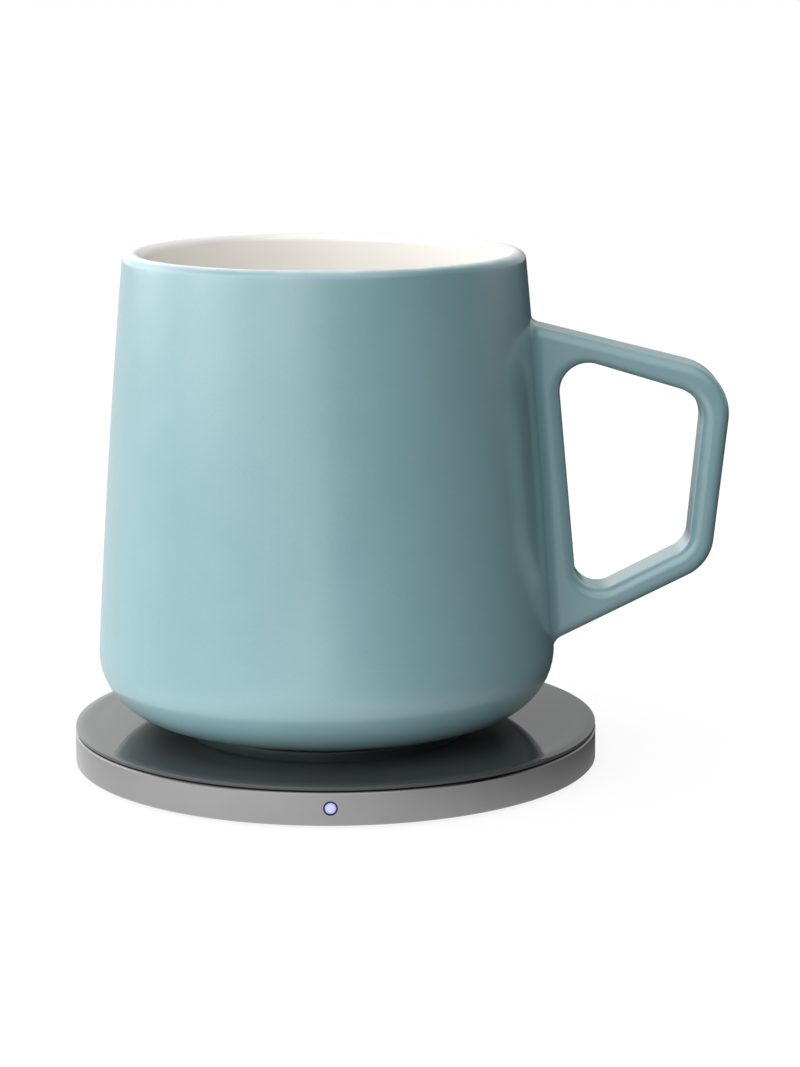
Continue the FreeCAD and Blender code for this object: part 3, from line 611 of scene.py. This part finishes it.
def turned_piece(name: str, profile: np.ndarray, segments: int) -> bpy.types.Object:
    """A surface turned about the Z axis: each point is (r cos a, r sin a, z) for an angle a round it.

    Args:
        name: The piece's name.
        profile: Radius and height in millimetres, on the axis at both ends. The outside lies to the
            right of its direction.
        segments: Number of steps round the axis.

    Returns:
        The object.
    """
    angle = np.linspace(0.0, 2 * math.pi, segments, endpoint=False)
    rows = profile[1:-1]
    grid = np.stack(
        [
            rows[:, :1] * np.cos(angle),
            rows[:, :1] * np.sin(angle),
            np.broadcast_to(rows[:, 1:], (len(rows), segments)),
        ],
        axis=-1,
    ).reshape(-1, 3)
    faces = [grid_faces(len(rows), segments, wrap_rows=False)]
    around = np.arange(segments)
    after = (around + 1) % segments
    last = (len(rows) - 1) * segments
    start_pole, end_pole = len(grid), len(grid) + 1
    poles = np.array([[0.0, 0.0, profile[0, 1]], [0.0, 0.0, profile[-1, 1]]])
    faces.append(np.stack([np.full(segments, start_pole), after, around], axis=-1))
    faces.append(np.stack([np.full(segments, end_pole), last + around, last + after], axis=-1))
    return mesh_piece(name, np.concatenate([grid, poles]), faces)


def dress(item: bpy.types.Object, material: bpy.types.Material) -> None:
    """Gives a piece one material in place of any it has."""
    item.data.materials.clear()
    item.data.materials.append(material)


def finish_node(node: bpy.types.Object, material: bpy.types.Material) -> None:
    """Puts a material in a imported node's own material slot, which leaves its mesh as it is."""
    for place in node.material_slots:
        place.link = "OBJECT"
        place.material = material


# The mug


@dataclass
class Mug:
    """The cup and its handle. Lengths are millimetres, heights are above the foot."""

    axis_x: float = -1.7
    seat: float = 8.4
    height: float = 94.4
    rim_radius: float = 39.6
    base_radius: float = 46.4
    side_radius: float = 2050.0
    corner: float = 12.5
    inner_corner: float = 10.0
    rim_wall: float = 3.6
    low_wall: float = 4.45
    floor: float = 3.62
    lip_round: float = 1.7
    foot_height: float = 2.0
    foot_outer: float = 27.6
    foot_inner: float = 24.0
    foot_round: float = 0.25
    segments: int = 320
    longest_step: float = 1.3
    arc_steps: int = 14
    handle_depth: float = 12.5
    handle_edge_round: float = 2.1
    handle_blend: float = 1.6
    blend_zone: float = 2.0
    handle_bedding: float = 1.2
    handle_sink: float = 0.03
    strap_corners: Corners = ((37.5, 81.03), (80.69, 70.2), (76.6, 32.2), (42.9, 15.44))
    strap_rounds: tuple[float, ...] = (0.0, 10.5, 9.0, 0.0)
    gap_corners: Corners = ((45.6, 74.7), (75.0, 65.9), (72.2, 35.6), (50.2, 24.47))
    gap_rounds: tuple[float, ...] = (5.6, 6.5, 5.0, 5.0)
    wall_turn_steps: int = 60
    arm_turn_steps: int = 36
    side_steps: int = 90
    round_steps: int = 9
    face_steps: int = 18
    glaze: Glaze = field(default_factory=Glaze)

    def wall_radius(self, height: np.ndarray) -> np.ndarray:
        """Outer radius of the side wall at a height.

        It is the straight line from base to rim, plus a bulge of 4 s (1 - s) times the arc's rise,
        where s is the share of the way up and the rise is chord squared over eight radii.
        """
        share = np.clip((height - self.foot_height) / (self.height - self.foot_height), 0.0, 1.0)
        taper = self.rim_radius - self.base_radius
        chord = math.hypot(self.height - self.foot_height, taper)
        rise = chord**2 / (8 * self.side_radius)
        return self.base_radius + taper * share + 4 * rise * share * (1 - share)

    def profile(self) -> np.ndarray:
        """The cup's section from the underside's middle, round the outside and down to the floor's middle."""
        floor_top = self.foot_height + self.floor
        corners = np.array(
            [
                (0.0, self.foot_height),
                (self.foot_inner, self.foot_height),
                (self.foot_inner, 0.0),
                (self.foot_outer, 0.0),
                (self.foot_outer, self.foot_height),
                (self.base_radius, self.foot_height),
                (self.rim_radius, self.height),
                (self.rim_radius - self.rim_wall, self.height),
                (self.base_radius - self.low_wall, floor_top),
                (0.0, floor_top),
            ]
        )
        fine = self.foot_round
        radii = np.array(
            [0, fine, fine, fine, fine, self.corner, self.lip_round, self.lip_round, self.inner_corner, 0]
        )
        rounded = rounded_outline(corners, radii, self.arc_steps, closed=False)
        line = finely_spaced(rounded, self.longest_step)
        flat = np.interp(line[:, 1], [self.foot_height, self.height], [self.base_radius, self.rim_radius])
        crest = int(np.argmax(line[:, 1]))
        outer = (np.arange(len(line)) <= crest) & (line[:, 0] > self.foot_outer)
        line[:, 0] += np.where(outer, self.wall_radius(line[:, 1]) - flat, 0.0)
        return line

    def build_cup(self) -> bpy.types.Object:
        """The cup as a turned surface, each point holding how far it lies past the lip's crest.

        That distance is measured along the section, above 0 outside and below 0 inside.
        """
        profile = self.profile()
        steps = np.linalg.norm(np.diff(profile, axis=0), axis=1)
        along = np.concatenate([[0.0], np.cumsum(steps)])
        top = np.flatnonzero(profile[:, 1] > self.height - 1e-6)
        past = along[top].mean() - along
        item = turned_piece("cup", profile, self.segments)
        self.shift(item)
        values = np.concatenate([np.repeat(past[1:-1], self.segments), past[[0, -1]]])
        self.mark(item, values)
        return item

    def shift(self, item: bpy.types.Object) -> None:
        """Moves a mug piece's points from the mug's own axis and foot to its place on the plate."""
        points = np.zeros(len(item.data.vertices) * 3, np.float32)
        item.data.vertices.foreach_get("co", points)
        points = points.reshape(-1, 3) + np.array([self.axis_x, 0.0, self.seat], np.float32) * MM
        item.data.vertices.foreach_set("co", points.ravel())
        item.data.update()

    def mark(self, item: bpy.types.Object, values: np.ndarray) -> None:
        """Stores the distance past the lip on a piece's points."""
        attribute = item.data.attributes.new(CLAY_ATTRIBUTE, "FLOAT", "POINT")
        attribute.data.foreach_set("value", values.astype(np.float32))

    @staticmethod
    def moved_in(corners: np.ndarray, distance: float) -> np.ndarray:
        """The corners of a clockwise outline whose sides are moved in by a distance.

        With n and m the unit normals inwards of the two sides at a corner, the corner moves by the
        distance times (n + m) / (1 + n.m).
        """
        way = np.roll(corners, -1, axis=0) - corners
        way /= np.linalg.norm(way, axis=1)[:, None]
        after = np.stack([way[:, 1], -way[:, 0]], axis=-1)
        before = np.roll(after, 1, axis=0)
        share = 1 + np.sum(before * after, axis=1)
        return corners + distance * (before + after) / share[:, None]

    def with_runs(self, turns: list[np.ndarray]) -> np.ndarray:
        """A closed outline made of its turns, each joined to the next by an evenly stepped run."""
        share = np.linspace(0.0, 1.0, self.side_steps, endpoint=False)[1:, None]
        afters = turns[1:] + turns[:1]
        runs = [turn[-1] + (after[0] - turn[-1]) * share for turn, after in zip(turns, afters)]
        return np.concatenate([part for pair in zip(turns, runs) for part in pair])

    def arcs(self, corners: np.ndarray, rounds: np.ndarray) -> list[np.ndarray]:
        """The arc at each corner of an outline. Those by the wall, first and last, have more points."""
        by_wall = 2 * self.wall_turn_steps
        steps = (by_wall, self.arm_turn_steps, self.arm_turn_steps, by_wall)
        turns = []
        for index, count in enumerate(steps):
            bend = corners[[index - 1, index, (index + 1) % len(corners)]]
            radii = np.array([0.0, rounds[index], 0.0])
            turns.append(rounded_outline(bend, radii, count, closed=False)[1:-1])
        return turns

    def bend_by_wall(self, corners: np.ndarray, index: int, arc: np.ndarray) -> np.ndarray:
        """The strap's sharp turn inside the wall, which faces one of the gap's arcs.

        It starts on the line before the corner, at the foot of the perpendicular from the arc's
        start, goes to the corner, and ends at the foot from the arc's end on the line after it.
        """
        corner = corners[index]
        feet = []
        after = corners[(index + 1) % len(corners)]
        for end, other in ((arc[0], corners[index - 1]), (arc[-1], after)):
            way = (other - corner) / np.linalg.norm(other - corner)
            feet.append(corner + way * ((end - corner) @ way))
        share = np.linspace(0.0, 1.0, self.wall_turn_steps + 1)[:, None]
        there = feet[0] + (corner - feet[0]) * share[:-1]
        return np.concatenate([there, corner + (feet[1] - corner) * share])

    def strap_lines(self, insets: np.ndarray) -> tuple[np.ndarray, np.ndarray]:
        """The strap's outer outline and its finger gap at several distances into the strap.

        The points of all the lines face each other, and an arc that is moved in keeps its centre.

        Args:
            insets: Distances into the strap's material.

        Returns:
            Both sets of lines, each as inset, point along the line, and radius and height.
        """
        strap, gap = np.array(self.strap_corners), np.array(self.gap_corners)
        strap_rounds, gap_rounds = np.array(self.strap_rounds), np.array(self.gap_rounds)
        facing = self.arcs(gap, gap_rounds)
        outer, inner = [], []
        for inset in insets:
            corners = self.moved_in(strap, inset)
            turns = self.arcs(corners, np.maximum(strap_rounds - inset, 0.0))
            turns[0] = self.bend_by_wall(corners, 0, facing[0])
            turns[-1] = self.bend_by_wall(corners, len(corners) - 1, facing[-1])
            outer.append(self.with_runs(turns))
            inner.append(self.with_runs(self.arcs(self.moved_in(gap, -inset), gap_rounds + inset)))
        return np.array(outer), np.array(inner)

    @staticmethod
    def side_normals(line: np.ndarray) -> np.ndarray:
        """Unit normals of a closed clockwise outline, pointing away from what it encloses."""
        way = np.roll(line, -1, axis=0) - np.roll(line, 1, axis=0)
        way /= np.linalg.norm(way, axis=1)[:, None]
        return np.stack([-way[:, 1], way[:, 0]], axis=-1)

    def build_handle(self) -> bpy.types.Object:
        """The strap as a closed tube of rounded sections between its outer outline and the finger gap.

        A section goes across the outer outline, round an edge of radius e, over the face, round the
        inner edge and across the gap's outline, then back the same way on the other side: at angle t
        of an edge it lies e (1 - cos t) in from the outline and e (1 - sin t) short of the face.
        """
        edge, half = self.handle_edge_round, self.handle_depth / 2
        turn = np.linspace(0.0, math.pi / 2, self.round_steps + 1)
        outer, inner = self.strap_lines(edge * (1 - np.cos(turn)))
        depth = half - edge * (1 - np.sin(turn))
        flat = np.linspace(edge - half, half - edge, self.face_steps + 1)[1:-1]
        share = np.linspace(0.0, 1.0, self.face_steps + 1)[1:-1, None, None]
        face = outer[-1] + (inner[-1] - outer[-1]) * share
        level, upright = np.zeros(len(flat)), np.full(len(share), math.pi / 2)
        side = np.full(len(share), half)
        bands = [np.repeat(line[:1], len(flat), axis=0) for line in (outer, inner)]
        lines = np.concatenate([bands[0], outer, face, inner[::-1], bands[1], inner, face[::-1], outer[::-1]])
        depths = np.concatenate([flat, depth, side, depth[::-1], -flat, -depth, -side, -depth[::-1]])
        tilts = np.concatenate([level, turn, upright, turn[::-1], level, -turn, -upright, -turn[::-1]])
        outward, gapward = self.side_normals(outer[0]), -self.side_normals(inner[0])
        counts = (len(flat) + len(turn) + len(share), len(flat) + 2 * len(turn), len(share) + len(turn))
        on_outer = np.repeat([True, False, True], counts)[:, None, None]
        ways = np.where(on_outer, outward, gapward) * np.cos(tilts)[:, None, None]
        across = np.broadcast_to(depths[:, None], lines.shape[:2])
        tilted = np.broadcast_to(np.sin(tilts)[:, None], lines.shape[:2])
        points = np.stack([lines[..., 0], across, lines[..., 1]], axis=-1)
        normals = np.stack([ways[..., 0], tilted, ways[..., 1]], axis=-1)
        rows, columns = points.shape[:2]
        points = self.blended(points, normals).reshape(-1, 3)
        item = mesh_piece("handle", points, [grid_faces(rows, columns, wrap_rows=True)])
        self.shift(item)
        self.mark(item, np.full(rows * columns, self.height))
        return item

    def blended(self, points: np.ndarray, normals: np.ndarray) -> np.ndarray:
        """The strap's points with a hollow round of radius b where it meets the wall.

        The last stretch of the surface, up to the zone's width from the wall, is laid over the
        straight rest and the hollow: at angle t of it, the gap to the wall is b (1 - cos t) and the
        surface has come out by b (1 - sin t) along its normal. Points inside the wall go no deeper
        than the bedding.
        """
        blend = self.handle_blend
        radius = np.hypot(points[..., 0], points[..., 1])
        outwards = points * np.array([1.0, 1.0, 0.0]) / radius[..., None]
        gap = radius - self.wall_radius(points[..., 2])
        stretch = 1 + blend * (math.pi / 2 - 1) / self.blend_zone
        along = np.clip(gap, 0.0, self.blend_zone) * stretch
        angle = np.minimum(along / blend, math.pi / 2)
        wanted = blend * (1 - np.cos(angle)) + np.maximum(along - blend * math.pi / 2, 0.0)
        change = np.where((gap > 0) & (gap < self.blend_zone), wanted - gap, 0.0)
        facing = np.sum(outwards * normals, axis=-1)
        slide = outwards - normals * facing[..., None]
        slide /= np.maximum(1 - facing**2, 0.25)[..., None]
        lift = np.where(gap < self.blend_zone, blend * (1 - np.sin(angle)), 0.0)
        moved = points + slide * change[..., None] + normals * lift[..., None]
        radius = np.hypot(moved[..., 0], moved[..., 1])
        wall = self.wall_radius(moved[..., 2])
        outside = np.maximum(wanted, 0.0) - self.handle_sink * (lift / blend)
        aim = np.where(gap > 0, outside, np.maximum(gap, -self.handle_bedding))
        near = gap < self.blend_zone
        scale = np.where(near, (wall + aim) / radius, 1.0)
        moved[..., 0] *= scale
        moved[..., 1] *= scale
        return moved

    def build(self) -> None:
        """Builds, dresses and places both pieces of the mug."""
        material = self.glaze.build()
        for item, node in ((self.build_cup(), "mug_body"), (self.build_handle(), "mug_handle")):
            dress(item, material)
            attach(item, Body.MUG.value)
            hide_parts(node)
            LOG.info("piece %s: %d faces", item.name, len(item.data.polygons))


# The warmer's plate and pad


@dataclass
class GlassPlate:
    """The round glass plate that carries the mug: a faint dish with a softly falling edge."""

    radius: float = 52.4
    base: float = 7.5
    top: float = 8.35
    dish_radius: float = 47.6
    dish_depth: float = 0.035
    brim_radius: float = 50.5
    fall_width: float = 1.75
    fall: float = 0.16
    rim_drop: float = 0.03
    corner_round: float = 0.14
    foot_round: float = 0.1
    segments: int = 360
    steps: int = 12
    longest_step: float = 5.0
    glass: PolishedGlass = PolishedGlass("dark_glass", (0.05, 0.056, 0.058))

    def profile(self) -> np.ndarray:
        """The plate's section, from the underside's middle round the edge to the face's middle.

        From the edge inwards the face climbs with the square of the distance to the brim, then
        sinks to the dish by the smooth step 3 s^2 - 2 s^3.
        """
        share = np.linspace(1.0, 0.0, self.steps)[:, None]
        fall = np.concatenate(
            [self.brim_radius + self.fall_width * share, self.top - self.fall * share**2], axis=1
        )
        share = np.linspace(0.0, 1.0, self.steps)[1:, None]
        sink = 3 * share**2 - 2 * share**3
        inwards = self.brim_radius + (self.dish_radius - self.brim_radius) * share
        dish = np.concatenate([inwards, self.top - self.dish_depth * sink], axis=1)
        rim = self.top - self.fall - self.rim_drop
        corners = np.array([(0.0, self.base), (self.radius, self.base), (self.radius, rim), tuple(fall[1])])
        radii = np.array([0.0, self.foot_round, self.corner_round, 0.0])
        edge = rounded_outline(corners, radii, self.steps, closed=False)
        middle = np.array([(0.0, self.top - self.dish_depth)])
        return finely_spaced(np.concatenate([edge[:-1], fall[1:], dish, middle]), self.longest_step)

    def build(self) -> None:
        """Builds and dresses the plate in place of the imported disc."""
        item = turned_piece("glass_plate", self.profile(), self.segments)
        dress(item, self.glass.build())
        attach(item, Body.WARMER.value)
        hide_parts("top_plate")
        LOG.info("piece %s: %d faces", item.name, len(item.data.polygons))


@dataclass
class FootPad:
    """The non-slip pad with shallow rings moulded into its underside."""

    radius: float = 49.5
    thickness: float = 0.7
    edge_round: float = 0.2
    groove_depth: float = 0.18
    groove_width: float = 1.1
    groove_pitch: float = 3.2
    first_groove: float = 8.0
    last_groove: float = 47.0
    segments: int = 240
    rubber: Moulded = Moulded("foot_rubber", (0.035, 0.035, 0.038), 0.78, 0.3, 0.02)

    def build(self) -> None:
        """Builds the pad: each groove is two sloping walls and a floor, cut up into the underside."""
        starts = np.arange(self.first_groove, self.last_groove - self.groove_width, self.groove_pitch)
        wall = self.groove_width / 4
        offsets = np.array([0.0, wall, self.groove_width - wall, self.groove_width])
        heights = np.array([0.0, self.groove_depth, self.groove_depth, 0.0])
        radius = (starts[:, None] + offsets[None, :]).ravel()
        under = np.stack([radius, np.tile(heights, len(starts))], axis=-1)
        corners = np.concatenate(
            [
                [(0.0, 0.0)],
                under,
                [(self.radius, 0.0), (self.radius, self.thickness), (0.0, self.thickness)],
            ]
        )
        radii = np.zeros(len(corners))
        radii[-3:-1] = self.edge_round
        profile = rounded_outline(corners, radii, 5, closed=False)
        item = turned_piece("foot_pad", profile, self.segments)
        item.data.set_sharp_from_angle(angle=math.radians(35.0))
        dress(item, self.rubber.build())
        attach(item, Body.WARMER.value)
        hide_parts("base_pad")
        LOG.info("piece %s: %d faces", item.name, len(item.data.polygons))


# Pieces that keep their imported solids


@dataclass
class PackedPieces:
    """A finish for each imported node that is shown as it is."""

    nodes: dict[str, bpy.types.Object]

    def finishes(self) -> dict[str, object]:
        """The finish of each node by name."""
        black = Moulded("black_plastic", (0.018, 0.018, 0.02), 0.5)
        board = SolderMask("circuit_board", (0.01, 0.09, 0.035))
        screw = RolledMetal("screw_steel", (0.5, 0.5, 0.52), 0.3)
        white_wire = Moulded("white_wire", (0.78, 0.78, 0.75), 0.5, 0.2, 0.004, 0.05)
        chip = Moulded("chip_plastic", (0.012, 0.012, 0.014), 0.55, 0.1, 0.004)
        return {
            "base_cover": black,
            "base_screws": screw,
            "board_screws": screw,
            # painted shade darkens the ring's top bevel above 7 mm
            "housing_ring": TurnedMetal("satin_aluminium", (0.31, 0.305, 0.31), 0.22, painted_shade_above=7.0),
            "plate_seal": Moulded("seal_rubber", (0.002, 0.002, 0.0025), 0.85, 0.15, 0.004, 0.0),
            "plate_bond": Fired("adhesive", (0.6, 0.6, 0.58), 0.7),
            "heat_spreader": RolledMetal("spreader_aluminium", (0.75, 0.75, 0.76), 0.35),
            "heater_film": CoatedFilm("amber_film", (0.55, 0.24, 0.04)),
            "heater_track": RolledMetal("track_metal", (0.6, 0.5, 0.38), 0.38, 0.3),
            "insulation_pad": Felt("insulation_felt", (0.82, 0.81, 0.78)),
            "clamp_plate": RolledMetal("clamp_steel", (0.55, 0.55, 0.56), 0.32, 0.2),
            "thermistor": Fired("sensor_epoxy", (0.02, 0.02, 0.02), 0.2),
            "thermal_fuse": Fired("fuse_ceramic", (0.8, 0.79, 0.74), 0.6),
            "heater_leads": Moulded("red_wire", (0.45, 0.02, 0.015), 0.45, 0.2, 0.004, 0.05),
            "sensor_leads": white_wire,
            "board_link": white_wire,
            "main_board": board,
            "button_board": board,
            "microcontroller": chip,
            "power_transistor": chip,
            "board_resistors": chip,
            "switch_body": chip,
            "board_capacitors": Fired("chip_ceramic", (0.45, 0.3, 0.17), 0.4),
            "inlet_shell": RolledMetal("inlet_steel", (0.72, 0.72, 0.74), 0.22),
            "inlet_tongue": black,
            "inlet_contacts": RolledMetal("contact_gold", (0.85, 0.62, 0.24), 0.25),
            "button_bezel": RolledMetal("blue_bezel", (0.012, 0.02, 0.10), 0.28, 0.3),
            "status_led": Fired("lamp_white", (0.88, 0.88, 0.9), 0.3),
            "button_cap": Lens("lit_lens", (0.0, -52.5, 4.15), 1.07),
            "switch_stem": black,
        }

    def build(self) -> None:
        """Puts each finish on its node, building a finish that several nodes share once."""
        built: dict[str, bpy.types.Material] = {}
        for name, finish in self.finishes().items():
            if finish.name not in built:
                built[finish.name] = finish.build()
            finish_node(self.nodes[name], built[finish.name])
            LOG.info("packed piece %s: %s", name, finish.name)


# The studio


@dataclass(frozen=True)
class Glow:
    """A soft lamp far off: a round patch of the room's light that fades out towards its edge."""

    towards: tuple[float, float, float]
    strength: float
    edge: float = 0.6
    middle: float = 0.98


@dataclass(frozen=True)
class Patch:
    """A part of the table top, in metres, and how bright it is for light that bounces off it."""

    left: float | None
    right: float | None
    front: bool
    strength: float


@dataclass
class Studio:
    """Floor, world and camera. Distances are in metres, light is 1 where white paint looks white."""

    camera_place: tuple[float, float, float] = (0.01307, -0.5949, 0.1612)
    camera_pitch: float = 10.956
    camera_roll: float = -0.153
    lens: float = 102.06
    sensor: float = 36.0
    floor_radius: float = 6.0
    floor_albedo: float = 0.15
    floor_lift: float = 0.87
    patch_fade: float = 0.08
    patch_fronts: tuple[float, float] = (-0.06, 0.04)
    glows: tuple[Glow, ...] = (
        Glow((-1.0, 0.0, 0.1), 1.45),
        Glow((-0.75, -0.75, 0.1), 1.6),
        Glow((0.75, 0.75, 0.1), 0.67),
        Glow((-0.75, 0.75, 0.1), 1.9),
        Glow((-1.0, 0.0, 1.1), 0.55),
        Glow((0.0, -1.0, 1.1), 1.2),
        Glow((0.0, 1.0, 1.1), 0.46),
        Glow((0.0, 0.0, 1.0), 0.6, 0.86, 0.97),
    )
    patches: tuple[Patch, ...] = (
        Patch(None, -0.1, True, 0.5),
        Patch(-0.1, -0.02, True, 1.45),
        Patch(-0.02, 0.06, True, 0.95),
        Patch(None, 0.0, False, 0.8),
    )

    def add_camera(self) -> None:
        """Stands the camera where the photograph was taken from: level, pitched down, then rolled."""
        data = bpy.data.cameras.new("view")
        data.lens = self.lens
        data.sensor_width = self.sensor
        data.clip_start = 0.01
        item = bpy.data.objects.new("view", data)
        pitch = Euler((math.radians(90.0 - self.camera_pitch), 0.0, 0.0)).to_matrix()
        roll = Euler((0.0, 0.0, math.radians(self.camera_roll))).to_matrix()
        item.matrix_world = (pitch @ roll).to_4x4()
        item.location = self.camera_place
        bpy.context.scene.collection.objects.link(item)
        bpy.context.scene.camera = item

    def add_floor(self) -> None:
        """Lays the pale floor: a flat disc that looks lit from within, so that it fades to white."""
        angle = np.linspace(0.0, 2 * math.pi, 96, endpoint=False)
        radii = np.array([0.12, 0.5, 2.0, self.floor_radius]) / MM
        grid = np.stack(
            np.broadcast_arrays(radii[:, None] * np.cos(angle), radii[:, None] * np.sin(angle), 0.0), axis=-1
        ).reshape(-1, 3)
        points = np.concatenate([grid, [[0.0, 0.0, 0.0]]])
        around = np.arange(len(angle))
        fan = np.stack([np.full(len(angle), len(grid)), around, (around + 1) % len(angle)], axis=-1)
        faces = grid_faces(len(radii), len(angle), wrap_rows=False)[:, ::-1]
        item = mesh_piece("floor", points, [faces, fan])
        dress(item, self.floor_material())

    def patch_light(self, graph: Graph, patch: Patch, x: Socket, y: Socket) -> Socket:
        """The light of one patch at a point of the table: full inside, fading across its borders."""
        near, far = self.patch_fronts
        ends = (patch.strength, 0.0) if patch.front else (0.0, patch.strength)
        light = graph.spread(y, near, far, *ends)
        fade = self.patch_fade
        if patch.left is not None:
            side = graph.spread(x, patch.left - fade, patch.left + fade, 0.0, 1.0)
            light = graph.maths("MULTIPLY", light, side)
        if patch.right is not None:
            side = graph.spread(x, patch.right - fade, patch.right + fade, 1.0, 0.0)
            light = graph.maths("MULTIPLY", light, side)
        return light

    def floor_material(self) -> bpy.types.Material:
        """Floor paint: where it is seen it glows near white and takes the object's shadow.

        For light that bounces it is a table top lit from the left, which falls away to the right.
        """
        graph = Graph.of_material("floor_paint")
        x, y, _ = graph.parts(graph.place())
        table = graph.spread(graph.noise(4.0, 3.0), 0.3, 0.7, 0.0, 0.01)
        for patch in self.patches:
            table = graph.maths("ADD", table, self.patch_light(graph, patch, x, y))
        bounced = graph.add("Emission", Color=(1.0, 1.0, 1.0), Strength=table)
        shown = graph.add("BsdfDiffuse", Color=(self.floor_albedo,) * 3)
        glow = graph.add("Emission", Color=(1.0, 1.0, 1.0), Strength=self.floor_lift)
        graph.camera_split(bounced, [shown, glow])
        return graph.owner

    def add_world(self) -> None:
        """Makes the room, whose light in a direction is the sum of the glows there.

        A glow is full where the direction's cosine to its middle is past middle, and fades smoothly
        to none where that is edge. The camera sees plain white.
        """
        world = bpy.data.worlds.new("room")
        bpy.context.scene.world = world
        graph = Graph(world)
        way = graph.add("TexCoord").outputs["Generated"]
        total: Socket | float = 0.0
        for glow in self.glows:
            along = graph.add("VectorMath", {"operation": "DOT_PRODUCT"})
            graph.put(along.inputs[0], way)
            length = math.hypot(*glow.towards)
            along.inputs[1].default_value = tuple(part / length for part in glow.towards)
            light = graph.spread(along.outputs["Value"], glow.edge, glow.middle, 0.0, glow.strength)
            total = graph.maths("ADD", total, light)
        light = graph.add("Background", Color=(1.0, 1.0, 1.0), Strength=total)
        white = graph.add("Background", Color=(1.0, 1.0, 1.0), Strength=1.0)
        graph.camera_split(light, [white])

    def build(self) -> None:
        """Sets the colour handling and builds everything round the object."""
        bpy.context.scene.view_settings.view_transform = "Standard"
        self.add_world()
        self.add_floor()
        self.add_camera()


def main() -> None:
    """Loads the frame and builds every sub-assembly."""
    logging.basicConfig(level=logging.INFO, format="%(name)s %(message)s")
    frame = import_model()
    Studio().build()
    Mug().build()
    GlassPlate().build()
    FootPad().build()
    PackedPieces(frame["nodes"]).build()


if __name__ == "__main__":
    main()
